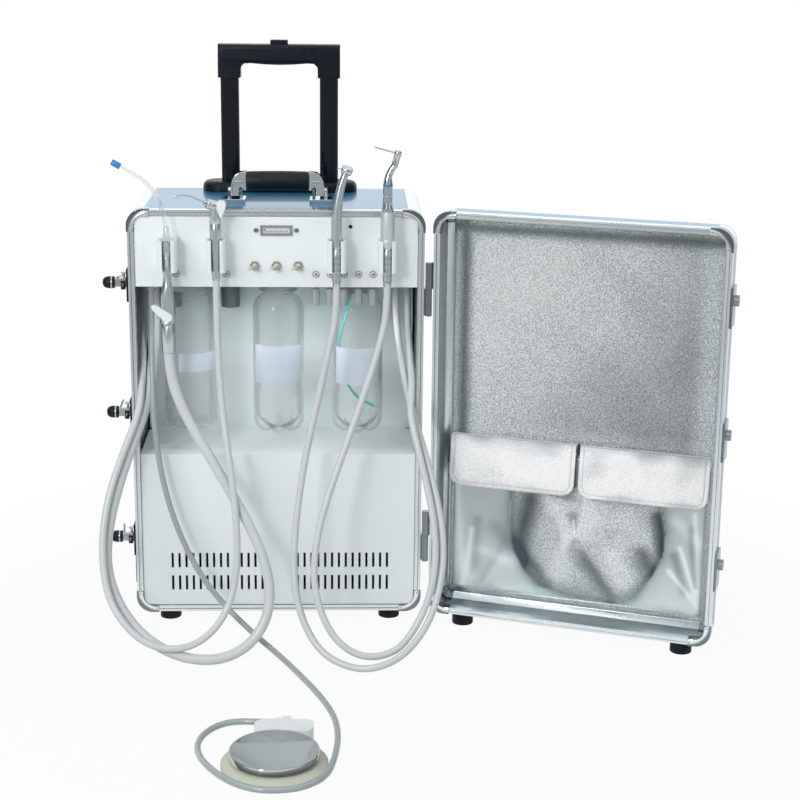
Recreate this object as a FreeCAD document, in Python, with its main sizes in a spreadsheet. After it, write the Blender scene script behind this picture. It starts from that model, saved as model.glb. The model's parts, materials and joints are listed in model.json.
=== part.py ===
"""Portable dental unit: an aluminium trolley case with its front door standing open.

The case holds a control panel with four handpiece holders, a bay with a waste jar and two bottles,
and a vented compressor housing. A round foot pedal stands in front of it on its own hose.

Millimetres. The case's own frame has its origin on the floor under the middle of the front rim:
x to the right, y to the back, z up. The door's own frame has its origin on the floor under the hinge
line: x along the door's width, y from its rim to its outer face. case_x and case_y put the case in the
part's frame, whose origin is on the floor under the middle of the whole unit.
"""

import FreeCAD, Part
import math
import os
import re

import Sketcher
from FreeCAD import Placement, Rotation, Vector

SIZES = {
    # where the case stands in the part's frame
    "case_x": -183.79, "case_y": 116.75,
    # case and door shells
    "case_width": 400, "case_height": 574, "case_depth": 220, "door_depth": 60,
    "foot_height": 22, "wall": 6, "edge_radius": 22, "inner_ease": 7.5,
    "rim_width": 9, "rim_depth": 14, "rim_groove": 1.5, "groove_inset": 4,
    "corner_arm": 30, "corner_proud": 1, "fit_gap": 0.3,
    "foot_radius": 15, "foot_inset_side": 43, "foot_inset_front": 40,
    # door hinge
    "hinge_offset": 6, "hinge_radius": 4.75, "hinge_length": 74, "hinge_plate": 1.5, "hinge_leaf": 22,
    "hinge_pin": 2.5, "hinge_cap": 2.5, "running_gap": 0.06, "hinge_high": 452, "hinge_low": 98,
    "door_angle": 160,
    # cabinet of white sheet
    "sheet": 1.5, "sheet_setback": 3, "panel_low": 491, "shelf_high": 254, "bay_depth": 140,
    "sheet_corner": 12, "shelf_notch": 14,
    # vents
    "slot_width": 3.2, "slot_height": 21.5, "slot_pitch": 9.7, "slot_first": 151, "slot_second": 25,
    "slot_row_high": 98, "slot_row_low": 64.5, "slot_count": 14,
    # compressor
    "motor_radius": 42, "motor_length": 150, "motor_y": 72, "motor_high": 90,
    "pump_radius": 24, "pump_high": 190, "pump_spread": 48, "pump_head": 12, "pump_lip": 4,
    "bed_overhang": 20, "bed_thick": 6, "saddle_width": 16, "saddle_depth": 44,
    "mount_height": 12, "mount_radius": 9, "mount_inset": 12,
    # gauge
    "gauge_width": 43, "gauge_height": 14, "gauge_high": 568.5, "gauge_proud": 2.5,
    "gauge_frame": 3.5, "gauge_body": 20, "screw_radius": 2.6, "screw_spread": 27.3, "screw_proud": 1.4,
    "plug_x": 99.7, "plug_high": 574,
    # toggle valves
    "toggle_high": 520.4, "toggle_pitch": 29.2, "nut_radius": 5.8, "nut_thick": 4, "toggle_barrel": 3.6,
    "toggle_barrel_length": 8, "toggle_bore": 2.7, "toggle_lever": 17, "toggle_tip": 2.6, "toggle_angle": 25,
    # flow adjusters, and the fittings below them
    "adjuster_high": 509, "adjuster_radius": 4.2, "adjuster_proud": 1,
    "adjuster_first": 53, "adjuster_pitch": 19.3, "adjuster_syringe": -67, "adjuster_waste": -135,
    "fitting_radius": 5.4, "fitting_length": 28, "fitting_neck": 3.4, "fitting_neck_length": 5, "fitting_y": 18,
    # handpiece holders
    "tool_y": -22, "holder_waste": -145, "holder_syringe": -80, "holder_high": 81, "holder_low": 149,
    "holder_width": 26, "holder_front": 6, "holder_bottom": 516, "holder_top": 560,
    "holder_bore": 7.4, "holder_mouth": 10.6, "holder_funnel": 10, "holder_slot": 11.5,
    # bay: jar, bottles and ports
    "jar_side": 76.5, "bottle_y": 60, "jar_radius": 37, "jar_low": 285, "jar_neck": 33, "glass": 1.5,
    "bottle_radius": 36, "bottle_low": 274, "air_x": 0, "water_side": 89.7, "bottle_neck": 14,
    "cap_radius": 26.5, "cap_height": 13, "port_radius": 13, "port_length": 50, "port_y": 112,
    "port_left": 27.5, "port_right": 54.5, "pickup_radius": 2,
    # grommets: how far each hose comes down from the case's side
    "grommet_wall": 2.5, "waste_grommet": 29, "syringe_grommet": 14, "pedal_grommet": 28,
    "high_grommet": 37, "low_grommet": 20,
    # hoses
    "waste_hose": 7, "tool_hose": 4.75, "pedal_hose": 4,
    # latches and catches
    "latch_middle": 310, "latch_spacing": 182, "latch_plate": 3, "latch_plate_width": 32,
    "latch_plate_height": 45, "latch_stand": 7.2, "latch_y": 12, "latch_pin": 1.5, "latch_reach": 24,
    "latch_arm": 12, "latch_arm_thick": 6, "latch_rise": 9, "knob_radius": 6.5, "knob_length": 11,
    "catch_height": 54, "catch_width": 30, "catch_boss": 7.5, "catch_boss_height": 7, "catch_boss_in": 6,
    # carrying handle
    "carry_y": 78, "pivot_rise": 14, "grip_rise": 14.5, "grip_radius": 13, "grip_half": 43,
    "bracket_in": 44, "bracket_out": 75, "bracket_depth": 34, "pad_thick": 5, "ear": 4, "carry_pin": 2,
    "lug_radius": 6, "end_in": 52, "end_out": 64, "end_depth": 17,
    # telescopic handle
    "trolley_back": 37, "tube_spread": 70, "tube_width": 26, "tube_depth": 15, "guide_wall": 2,
    "tube_low": 480, "guide_low": 130, "grip_height": 46, "grip_top": 802, "grip_width": 171.5,
    "grip_depth": 30, "socket_width": 31.5, "grip_bar": 25, "socket_depth": 28,
    "bezel_width": 220, "bezel_depth": 52, "bezel_height": 14,
    "button_width": 24.5, "button_depth": 13, "button_proud": 6, "button_well": 12, "button_travel": 4,
    # rear wheels
    "wheel_radius": 20, "wheel_width": 20, "wheel_spread": 150, "axle_radius": 4, "wheel_gap": 2,
    "cheek": 3, "housing_height": 62, "housing_plate": 2, "cheek_half": 8, "cheek_high": 10, "cheek_top": 6,
    "wheel_clear": 3,
    # power inlet
    "inlet_y": 40, "inlet_high": 81, "inlet_width": 34, "inlet_height": 46, "inlet_proud": 3.5,
    "inlet_body": 20, "inlet_inset": 4, "inlet_well": 14,
    # door lining and pocket
    "lining": 3, "pocket_side": 12, "pocket_low": 45, "pocket_high": 257, "pocket_bulge": 27,
    "pocket_mouth": 8, "pocket_belly_low": 35, "pocket_belly_high": 90, "hem_height": 6,
    "flap_thick": 3.6, "flap_rise": 17, "flap_drop": 70, "flap_between": 6, "flap_corner": 18, "pocket_wall": 1.5,
    # foot pedal
    "pedal_x": 7.5, "pedal_y": -432, "pedal_base": 64.5, "pedal_base_top": 51, "pedal_base_height": 9,
    "disc_radius": 54, "disc_high": 20, "disc_band": 8, "disc_wall": 1.5, "disc_dish": 5,
    "valve_width": 73, "valve_depth": 33, "valve_high": 17, "valve_x": 17, "valve_gap": 3, "valve_corner": 12,
    "base_floor": 2.5, "base_edge": 3, "dish_share": 0.35, "disc_lip": 2,
    "pedal_stem": 9, "pedal_travel": 3, "gland_radius": 5.5,
    # suction valve and its lever
    "valve_low": 406, "valve_barrel": 9.2, "valve_barrel_length": 38, "valve_body": 10.2, "valve_neck": 4.8,
    "valve_head": 6.7, "valve_length": 152, "valve_facet": 8, "valve_facet_height": 43, "valve_waist": 2,
    "valve_waist_height": 3, "valve_cone": 10, "valve_straight": 27, "valve_taper": 22, "valve_cap": 18,
    "valve_cap_cone": 6, "valve_lever_high": 50, "valve_lever_hub": 6.6, "valve_lever_end": 4,
    "valve_lever_length": 22, "valve_lever_thick": 4, "valve_lever_angle": -142,
    "valve_spindle": 2.5, "ejector_radius": 2.8, "ejector_tip": 4.2, "ejector_tip_length": 13,
    # syringe
    "syringe_low": 505, "syringe_end": 5, "syringe_grip": 7.9, "syringe_length": 77, "syringe_neck": 8.8,
    "syringe_head_low": 592, "syringe_head_high": 618, "syringe_head_width": 12, "syringe_head_depth": 15,
    "nozzle_radius": 1.5, "nozzle_nut": 5.6, "nozzle_nut_length": 9, "nozzle_high": 612,
    "nozzle_lead": 4, "nozzle_lift": 2.2, "nut_angle": -70, "nut_sunk": 2, "syringe_cone_low": 10,
    "syringe_cone_high": 58, "head_sunk": 2, "push_rise": 17,
    "push_thick": 6, "push_between": 0.8, "push_travel": 2, "push_length": 12, "push_stem": 1.6,
    # high-speed handpiece
    "coupling_low": 497, "coupling_high": 548, "coupling_radius": 6.2, "relief_radius": 5.2, "relief_length": 7,
    "grip_thick": 7.3, "grip_length": 52, "grip_end": 3, "drum_neck": 4, "neck_length": 50, "neck_angle": 15,
    "drum_radius": 6.1, "drum_length": 14, "drum_x": 13.5, "drum_high": 653, "grip_start": 4, "grip_step": 2,
    "bur_angle": -75, "bur_radius": 0.8, "bur_length": 6,
    # low-speed motor and contra-angle
    "motor_grip": 9.6, "motor_cone": 10.5, "motor_top": 598, "motor_shoulder": 20, "angle_radius": 6.4,
    "angle_top": 647, "angle_neck": 4.2, "angle_neck_length": 17, "angle_tilt": 30, "angle_neck_sunk": 2.5,
    "angle_head": 4.5, "angle_head_length": 22, "angle_head_x": 8, "angle_head_high": 658, "low_bur_radius": 1.15,
    "low_bur_length": 27, "low_bur_high": 18.5,
}

doc = FreeCAD.newDocument("portable_dental_unit")
sheet = doc.addObject("Spreadsheet::Sheet", "Sizes")
for line, (alias, number) in enumerate(SIZES.items(), start=1):
    sheet.set(f"A{line}", alias)
    sheet.set(f"B{line}", str(number))
    sheet.setAlias(f"B{line}", alias)
doc.recompute()

TOP = "(foot_height + case_height)"
HALF = "(case_width / 2)"
INSIDE = "(case_width / 2 - rim_width - fit_gap)"
PANEL_FRONT = "sheet_setback"
NODES = []


# ---------------------------------------------------------------- expressions and primitives


def bound(text):
    """The expression with each size's name pointing at its cell."""
    return re.sub(r"[a-z][a-z_]*", lambda m: f"Sizes.{m[0]}" if m[0] in SIZES else m[0], str(text))


def value(text):
    """What an expression of the sizes is worth now."""
    result = sheet.evalExpression(bound(text))
    return float(getattr(result, "Value", result))


def bind(thing, **properties):
    for name, text in properties.items():
        thing.setExpression(name, bound(text))


def put(thing, x=0, y=0, z=0, turn=None):
    """Places a thing at bound coordinates; turn is a fixed (axis, degrees)."""
    if turn:
        thing.Placement = Placement(Vector(), Rotation(Vector(*turn[0]), turn[1]))
    for letter, text in (("x", x), ("y", y), ("z", z)):
        thing.setExpression(f"Placement.Base.{letter}", bound(text))
    return thing


def box(x, y, z):
    """A block between two bound coordinates on each axis."""
    made = doc.addObject("Part::Box", "box")
    bind(made, Length=f"({x[1]}) - ({x[0]})", Width=f"({y[1]}) - ({y[0]})", Height=f"({z[1]}) - ({z[0]})")
    return put(made, x[0], y[0], z[0])


TOUCH = 1e-6  # how near two faces or points count as the same place
ALONG = {"x": ((0, 1, 0), 90), "y": ((1, 0, 0), -90), "z": None}


def rod(radius, length, at, axis="z"):
    """A cylinder that starts at a point and runs along an axis."""
    made = doc.addObject("Part::Cylinder", "rod")
    bind(made, Radius=radius, Height=length)
    return put(made, *at, turn=ALONG[axis])


def cone(first, last, length, at, axis="z"):
    made = doc.addObject("Part::Cone", "cone")
    bind(made, Radius1=first, Radius2=last, Height=length)
    return put(made, *at, turn=ALONG[axis])


def prism(sides, radius, length, at, axis="z"):
    """A regular prism; its radius is measured to the corners."""
    made = doc.addObject("Part::Prism", "prism")
    made.Polygon = sides
    bind(made, Circumradius=radius, Height=length)
    return put(made, *at, turn=ALONG[axis])


def group(*things):
    made = doc.addObject("Part::Compound", "group")
    made.Links = list(things)
    return made


def fuse(*things):
    made = doc.addObject("Part::MultiFuse", "fuse")
    made.Shapes = list(things)
    made.Refine = True
    return made


def cut(base, *tools):
    made = doc.addObject("Part::Cut", "cut")
    made.Base = base
    made.Tool = tools[0] if len(tools) == 1 else group(*tools)
    return made


def common(base, *tools):
    made = doc.addObject("Part::Common", "common")
    made.Base = base
    made.Tool = tools[0] if len(tools) == 1 else group(*tools)
    return made


def rounded(base, radius, direction):
    """Rounds a block's edges that run along one axis, by a bound radius."""
    doc.recompute()
    size = value(radius)
    picked = []
    for number, edge in enumerate(base.Shape.Edges, start=1):
        if edge.Curve.TypeId != "Part::GeomLine":
            continue
        if abs(edge.tangentAt(edge.FirstParameter).dot(Vector(*direction))) > 1 - TOUCH:
            picked.append((number, size, size))
    made = doc.addObject("Part::Fillet", "rounded")
    made.Base = base
    made.Edges = picked
    return made


# ---------------------------------------------------------------- PartDesign bodies


def plane_of(body, role):
    return next(f for f in body.Origin.OriginFeatures if f.Role == role)


def outline(body, role, points):
    """A closed sketch of straight lines through bound points, measured from the plane's origin."""
    sketch = body.newObject("Sketcher::SketchObject", "outline")
    sketch.AttachmentSupport = [(plane_of(body, role), "")]
    sketch.MapMode = "FlatFace"
    corners = [Vector(value(x), value(y), 0) for x, y in points]
    count = len(corners)
    for n in range(count):
        sketch.addGeometry(Part.LineSegment(corners[n], corners[(n + 1) % count]), False)
    for n in range(count):
        sketch.addConstraint(Sketcher.Constraint("Coincident", n, 2, (n + 1) % count, 1))
    for n, (x, y) in enumerate(points):
        for kind, text in (("DistanceX", x), ("DistanceY", y)):
            index = sketch.addConstraint(Sketcher.Constraint(kind, -1, 1, n, 1, value(text)))
            sketch.setExpression(f"Constraints[{index}]", bound(text))
    return sketch


def padded(points, length, role="XZ_Plane", at=(0, 0, 0)):
    """A body: an outline on the X-Z plane padded towards +y, or on X-Y towards +z."""
    body = doc.addObject("PartDesign::Body", "padded")
    sketch = outline(body, role, points)
    pad = body.newObject("PartDesign::Pad", "pad")
    pad.Profile = sketch
    pad.Reversed = role == "XZ_Plane"
    bind(pad, Length=length)
    put(body, *at)
    return body


def turned(points, at=(0, 0, 0), turn=None):
    """A body: a profile of bound (radius, height) points turned about z, then placed."""
    body = doc.addObject("PartDesign::Body", "turned")
    sketch = outline(body, "XZ_Plane", points)
    spin = body.newObject("PartDesign::Revolution", "spin")
    spin.Profile = sketch
    spin.ReferenceAxis = (sketch, ["V_Axis"])
    spin.Angle = 360
    put(body, *at, turn=turn)
    return body


def ease_edges(body, size, wanted, kind="Fillet"):
    """A fillet or chamfer of bound size on the body's edges that wanted() picks."""
    doc.recompute()
    last = body.Tip
    names = [f"Edge{n}" for n, edge in enumerate(last.Shape.Edges, start=1) if wanted(edge)]
    made = body.newObject(f"PartDesign::{kind}", "eased")
    made.Base = (last, names)
    bind(made, **{"Radius" if kind == "Fillet" else "Size": size})
    return made


def runs_along(axis):
    return lambda edge: all(
        abs(a - b) < TOUCH
        for n, (a, b) in enumerate(zip(edge.Vertexes[0].Point, edge.Vertexes[-1].Point))
        if n != axis
    )


def node(label, *things, frame="case"):
    """One sub-part: its solids in its own frame, placed by the bound frame."""
    made = doc.addObject("Part::Compound", label)
    made.Label = label
    made.Links = list(things)
    if frame == "door":
        made.Placement = Placement(Vector(), Rotation(Vector(0, 0, 1), value("door_angle - 180")))
        made.setExpression("Placement.Rotation.Angle", bound("door_angle - 180"))
        put_frame = ("case_x + case_width / 2 + hinge_offset", "case_y")
    else:
        put_frame = ("case_x", "case_y")
    made.setExpression("Placement.Base.x", bound(put_frame[0]))
    made.setExpression("Placement.Base.y", bound(put_frame[1]))
    NODES.append(made)
    return made


def aimed(things, angle, at, axis=(0, 0, 1)):
    """Things drawn about their own pivot, turned by a bound angle about an axis and set at a bound place."""
    made = group(*things)
    made.Placement = Placement(Vector(), Rotation(Vector(*axis), value(angle)))
    made.setExpression("Placement.Rotation.Angle", bound(angle))
    for letter, text in zip("xyz", at):
        made.setExpression(f"Placement.Base.{letter}", bound(text))
    return made


# ---------------------------------------------------------------- case and door shells


def block_body(x, y, z):
    """A padded rectangle between bound coordinates, deep along +y."""
    corners = [(x[0], z[0]), (x[1], z[0]), (x[1], z[1]), (x[0], z[1])]
    return padded(corners, f"({y[1]}) - ({y[0]})", at=(0, y[0], 0))


def rounded_front(x, y, z, radius):
    """A block with its four edges along y rounded."""
    body = block_body(x, y, z)
    ease_edges(body, radius, runs_along(1))
    return body


def eased_back(x, y, z, size, kind):
    """A block with its edges along y and round its back face rounded or chamfered."""
    body = block_body(x, y, z)
    doc.recompute()
    back = body.Tip.Shape.BoundBox.YMax
    at_back = lambda edge: all(abs(v.Point.y - back) < TOUCH for v in edge.Vertexes)
    ease_edges(body, size, lambda edge: runs_along(1)(edge) or at_back(edge), kind)
    return body


def shell_pieces(x, depth, holes=()):
    """A box open to the front: flat panels, quarter-round extrusions with a rim, and metal corners."""
    left, right = x
    low, high = "foot_height", TOP
    within = lambda inset: ((f"{left} + {inset}", f"{right} - {inset}"), (f"{low} + {inset}", f"{high} - {inset}"))
    outer_x, outer_z = within("0")
    inner_x, inner_z = within("wall")
    flat_x, flat_z = within("edge_radius")
    mouth_x, mouth_z = within("rim_width")
    skin = cut(
        eased_back(outer_x, ("0", depth), outer_z, "edge_radius", "Fillet"),
        eased_back(inner_x, ("-1", f"{depth} - wall"), inner_z, "inner_ease", "Chamfer"),
    )
    flat_y = ("rim_depth", f"{depth} - edge_radius")
    back_y = (f"{depth} - wall", depth)
    sides = [
        box((outer_x[0], inner_x[0]), flat_y, flat_z),
        box((inner_x[1], outer_x[1]), flat_y, flat_z),
        box(flat_x, flat_y, (outer_z[0], inner_z[0])),
        box(flat_x, flat_y, (inner_z[1], outer_z[1])),
        box(flat_x, back_y, flat_z),
    ]
    edge_x = ((outer_x[0], flat_x[0]), (flat_x[1], outer_x[1]))
    edge_z = ((outer_z[0], flat_z[0]), (flat_z[1], outer_z[1]))
    turn_y = (f"{depth} - edge_radius", depth)
    along = [box(ex, flat_y, ez) for ex in edge_x for ez in edge_z]
    along += [box(ex, turn_y, flat_z) for ex in edge_x]
    along += [box(flat_x, turn_y, ez) for ez in edge_z]
    rails = [common(skin, piece) for piece in along]
    balls = [common(skin, box(ex, turn_y, ez)) for ex in edge_x for ez in edge_z]
    # the rim: a deep frame with a groove all round its front, cut short at the corners
    mouth = rounded_front(mouth_x, ("-1", "rim_depth + 1"), mouth_z, "edge_radius - rim_width")
    groove_x, groove_z = within("groove_inset")
    tongue_x, tongue_z = within("rim_width - groove_inset + 1")
    rim = cut(rounded_front(outer_x, ("corner_proud", "rim_depth"), outer_z, "edge_radius"), mouth)
    groove = cut(
        rounded_front(groove_x, ("0", "corner_proud + rim_groove"), groove_z, "edge_radius - groove_inset"),
        rounded_front(tongue_x, ("0", "corner_proud + rim_groove"), tongue_z, "edge_radius - rim_width + 1"),
    )
    arm_x = ((f"{left} - 5", f"{left} + corner_arm"), (f"{right} - corner_arm", f"{right} + 5"))
    arm_z = ((f"{low} - 5", f"{low} + corner_arm"), (f"{high} - corner_arm", f"{high} + 5"))
    corner_boxes = [box(ax, ("-1", "rim_depth + 1"), az) for ax in arm_x for az in arm_z]
    bars = cut(cut(rim, groove), *corner_boxes)
    proud_x, proud_z = within("(-corner_proud)")
    proud = cut(rounded_front(proud_x, ("0", "rim_depth"), proud_z, "edge_radius + corner_proud"), mouth)
    corners = [common(proud, piece) for piece in corner_boxes]
    return sides, rails + [bars], corners, balls


def feet(places):
    return [rod("foot_radius", "foot_height", (x, y, "0")) for x, y in places]


CASE_X = ("(-case_width / 2)", "(case_width / 2)")
sides, rails, corners, balls = shell_pieces(CASE_X, "case_depth")
left_side, right_side, bottom_side, top_side, back_side = sides
TROLLEY_Y = "(case_depth - trolley_back)"
TUBES = ("(-tube_spread)", "tube_spread")
GUIDE_X = "(tube_width / 2 + fit_gap + guide_wall)"
GUIDE_Y = "(tube_depth / 2 + fit_gap + guide_wall)"


def slot_box(centre, half_x, half_y, z):
    """A block round one of the telescopic tubes."""
    return box(
        (f"{centre} - {half_x}", f"{centre} + {half_x}"),
        (f"{TROLLEY_Y} - {half_y}", f"{TROLLEY_Y} + {half_y}"), z,
    )


guide_holes = [slot_box(at, GUIDE_X, GUIDE_Y, (f"{TOP} - wall - 1", f"{TOP} + 1")) for at in TUBES]
INLET_Y = ("inlet_y - inlet_width / 2", "inlet_y + inlet_width / 2")
INLET_Z = ("inlet_high - inlet_height / 2", "inlet_high + inlet_height / 2")
inlet_hole = box(
    (f"{CASE_X[0]} - 1", f"{CASE_X[0]} + wall + 1"),
    (f"{INLET_Y[0]} + inlet_inset - fit_gap", f"{INLET_Y[1]} - inlet_inset + fit_gap"),
    (f"{INLET_Z[0]} + inlet_inset - fit_gap", f"{INLET_Z[1]} - inlet_inset + fit_gap"),
)
node(
    "case_panels", cut(left_side, inlet_hole), right_side, bottom_side, cut(top_side, *guide_holes), back_side
)
node("case_extrusions", *rails)
node("case_corners", *corners, *balls)
node(
    "case_feet",
    *feet([
        (f"{side} ({HALF} - foot_inset_side)", y)
        for side in ("-", "")
        for y in ("foot_inset_front", "case_depth - foot_inset_front")
    ]),
)

# the door, in its own frame
DOOR_X = ("hinge_offset", "(hinge_offset + case_width)")
sides, rails, corners, balls = shell_pieces(DOOR_X, "door_depth")
node("door_panels", *sides, frame="door")
node("door_extrusions", *rails, frame="door")
node("door_corners", *corners, *balls, frame="door")
node(
    "door_feet",
    *feet([(x, "door_depth / 2") for x in (f"{DOOR_X[0]} + foot_inset_side", f"{DOOR_X[1]} - foot_inset_side")]),
    frame="door",
)

# ---------------------------------------------------------------- white sheet cabinet

SHEET_X = (f"(-{INSIDE})", INSIDE)
FRONT_Y = ("sheet_setback", "sheet_setback + sheet")
BAY_Y = ("sheet_setback + sheet", "bay_depth")
PANEL_HIGH = f"({TOP} - rim_width - fit_gap)"
HOUSING_LOW = "(foot_height + rim_width + fit_gap)"


def cabinet_front(z, rounded_at):
    """A front plate whose two outer corners follow the rim's mouth."""
    body = block_body(SHEET_X, FRONT_Y, z)
    doc.recompute()
    level = value(z[rounded_at])
    at_end = lambda edge: runs_along(1)(edge) and abs(edge.Vertexes[0].Point.z - level) < TOUCH
    ease_edges(body, "sheet_corner", at_end)
    return body


panel_plate = cabinet_front(("panel_low", PANEL_HIGH), 1)
panel_ceiling = box(SHEET_X, BAY_Y, ("panel_low", "panel_low + sheet"))
gauge_hole = box(
    ("-gauge_width / 2 + gauge_frame / 2 - fit_gap", "gauge_width / 2 - gauge_frame / 2 + fit_gap"),
    ("0", "10"),
    (
        "gauge_high - gauge_height / 2 + gauge_frame / 2 - fit_gap",
        "gauge_high + gauge_height / 2 - gauge_frame / 2 + fit_gap",
    ),
)
TOGGLES = ("(-toggle_pitch)", "0", "toggle_pitch")
toggle_holes = [rod("toggle_barrel + fit_gap", "10", (at, "0", "toggle_high"), "y") for at in TOGGLES]
node("control_panel", cut(fuse(panel_plate, panel_ceiling), gauge_hole, *toggle_holes))

housing = cabinet_front((HOUSING_LOW, "shelf_high"), 0)
slots = housing.newObject("Sketcher::SketchObject", "slots")
slots.AttachmentSupport = [(plane_of(housing, "XZ_Plane"), "")]
slots.MapMode = "FlatFace"
SLOT_LEFT = ("(-slot_first)", "slot_second")
SLOT_LOW = ("slot_row_high", "slot_row_low")
for left in SLOT_LEFT:
    for middle in SLOT_LOW:
        x = (left, f"{left} + slot_width")
        z = (f"{middle} - slot_height / 2", f"{middle} + slot_height / 2")
        first = slots.GeometryCount
        ring = [(x[0], z[0]), (x[1], z[0]), (x[1], z[1]), (x[0], z[1])]
        spots = [Vector(value(a), value(b), 0) for a, b in ring]
        for n in range(4):
            slots.addGeometry(Part.LineSegment(spots[n], spots[(n + 1) % 4]), False)
        for n in range(4):
            slots.addConstraint(Sketcher.Constraint("Coincident", first + n, 2, first + (n + 1) % 4, 1))
            for kind, text in zip(("DistanceX", "DistanceY"), ring[n]):
                index = slots.addConstraint(Sketcher.Constraint(kind, -1, 1, first + n, 1, value(text)))
                slots.setExpression(f"Constraints[{index}]", bound(text))
doc.recompute()
solid_volume = housing.Shape.Volume
pocket = housing.newObject("PartDesign::Pocket", "slot_pocket")
pocket.Profile = slots
pocket.Type = "ThroughAll"
pocket.Midplane = True
row = housing.newObject("PartDesign::LinearPattern", "slot_row")
row.Originals = [pocket]
row.Direction = (slots, ["H_Axis"])
bind(row, Length="slot_pitch * (slot_count - 1)", Occurrences="slot_count")
housing.Tip = row
doc.recompute()
all_slots = 4 * value("slot_count * slot_width * slot_height * sheet")
print("vents cut", round((solid_volume - housing.Shape.Volume) / all_slots, 3))
shelf = padded(
    [
        (SHEET_X[0], BAY_Y[0]), (SHEET_X[1], BAY_Y[0]),
        (SHEET_X[1], "bay_depth - shelf_notch"), (f"{SHEET_X[1]} - shelf_notch", "bay_depth"),
        (f"{SHEET_X[0]} + shelf_notch", "bay_depth"), (SHEET_X[0], "bay_depth - shelf_notch"),
    ],
    "sheet",
    role="XY_Plane",
    at=("0", "0", "shelf_high - sheet"),
)
node("compressor_housing", fuse(housing, shelf))
BACK_Z = ("shelf_high - sheet", "panel_low + sheet")
node("bay_back_wall", box(SHEET_X, ("bay_depth", "bay_depth + sheet"), BACK_Z))

# ---------------------------------------------------------------- compressor behind the vents

FLOOR = "(foot_height + wall)"
PUMPS = ("(-pump_spread)", "pump_spread")
motor = rod("motor_radius", "motor_length", ("-motor_length / 2", "motor_y", "motor_high"), "x")
pumps = [
    box(
        (f"{at} - pump_radius", f"{at} + pump_radius"), ("motor_y - pump_radius", "motor_y + pump_radius"),
        ("motor_high", "pump_high"),
    )
    for at in PUMPS
]
heads = [
    box(
        (f"{at} - pump_radius - pump_lip", f"{at} + pump_radius + pump_lip"),
        ("motor_y - pump_radius - pump_lip", "motor_y + pump_radius + pump_lip"),
        ("pump_high", "pump_high + pump_head"),
    )
    for at in PUMPS
]
bed = box(
    ("-motor_length / 2 - bed_overhang", "motor_length / 2 + bed_overhang"),
    ("motor_y - motor_radius", "motor_y + motor_radius"),
    (f"{FLOOR} + mount_height", f"{FLOOR} + mount_height + bed_thick"),
)
saddles = [
    box(
        (f"{at} - saddle_width / 2", f"{at} + saddle_width / 2"),
        ("motor_y - saddle_depth / 2", "motor_y + saddle_depth / 2"), (f"{FLOOR} + mount_height", "motor_high"),
    )
    for at in PUMPS
]
mounts = [
    prism(
        8, "mount_radius", "mount_height",
        (
            f"{side} (motor_length / 2 + bed_overhang - mount_inset)",
            f"motor_y + {end} (motor_radius - mount_inset)", FLOOR,
        ),
    )
    for side in ("-", "")
    for end in ("-", "")
]
node("compressor", fuse(motor, *pumps, *heads, bed, *saddles), *mounts)

# ---------------------------------------------------------------- controls on the panel

bezel = box(
    ("-gauge_width / 2", "gauge_width / 2"),
    (f"{PANEL_FRONT} - gauge_proud", PANEL_FRONT),
    ("gauge_high - gauge_height / 2", "gauge_high + gauge_height / 2"),
)
window = box(
    ("-gauge_width / 2 + gauge_frame", "gauge_width / 2 - gauge_frame"),
    ("-5", f"{PANEL_FRONT} - gauge_proud / 2"),
    ("gauge_high - gauge_height / 2 + gauge_frame", "gauge_high + gauge_height / 2 - gauge_frame"),
)
movement = box(
    ("-gauge_width / 2 + gauge_frame / 2", "gauge_width / 2 - gauge_frame / 2"),
    (PANEL_FRONT, f"{PANEL_FRONT} + gauge_body"),
    ("gauge_high - gauge_height / 2 + gauge_frame / 2", "gauge_high + gauge_height / 2 - gauge_frame / 2"),
)
node("pressure_gauge", fuse(cut(bezel, window), movement))


def adjuster(x):
    """A needle valve's round head standing a little out of the panel."""
    return prism(
        16, "adjuster_radius", "adjuster_proud", (x, f"{PANEL_FRONT} - adjuster_proud", "adjuster_high"), "y"
    )


adjusters = [adjuster(f"(adjuster_first + {n} * adjuster_pitch)") for n in range(5)]
adjusters += [adjuster("adjuster_syringe"), adjuster("adjuster_waste")]
screws = [
    prism(6, "screw_radius", "screw_proud", (x, f"{PANEL_FRONT} - screw_proud", "gauge_high"), "y")
    for x in ("-screw_spread", "screw_spread")
]
plug = prism(6, "screw_radius", "screw_proud", ("plug_x", f"{PANEL_FRONT} - screw_proud", "plug_high"), "y")
node("panel_screws", *screws, plug, *adjusters)

TOGGLE_END = f"({PANEL_FRONT} - nut_thick - toggle_barrel_length)"
TOGGLE_PIVOT = f"({TOGGLE_END} + toggle_bore)"
TOGGLE_SLIT = "toggle_bore * 0.55"
valves = []
for at in TOGGLES:
    nut = prism(6, "nut_radius", "nut_thick", (at, f"{PANEL_FRONT} - nut_thick", "toggle_high"), "y")
    barrel = prism(8, "toggle_barrel", "toggle_barrel_length + 26", (at, TOGGLE_END, "toggle_high"), "y")
    slit = box(
        (f"{at} - nut_radius", f"{at} + nut_radius"),
        (f"{TOGGLE_END} - 1", f"{TOGGLE_PIVOT} + toggle_bore + fit_gap"),
        (f"toggle_high - {TOGGLE_SLIT} - fit_gap", f"toggle_high + {TOGGLE_SLIT} + fit_gap"),
    )
    valves.append(cut(fuse(nut, barrel), slit))
node("toggle_valves", *valves)
for number, at in enumerate(TOGGLES, start=1):
    stalk_length = "toggle_lever / 2 + toggle_bore - fit_gap"
    stalk = prism(8, TOGGLE_SLIT, stalk_length, ("0", "-toggle_lever / 2", "0"), "y")
    grip = prism(8, "toggle_tip", "toggle_lever / 2", ("0", "-toggle_lever", "0"), "y")
    lever = aimed([fuse(stalk, grip)], "-toggle_angle", (at, TOGGLE_PIVOT, "toggle_high"))
    node(f"toggle_lever_{number}", lever)

# ---------------------------------------------------------------- handpiece holders

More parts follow.
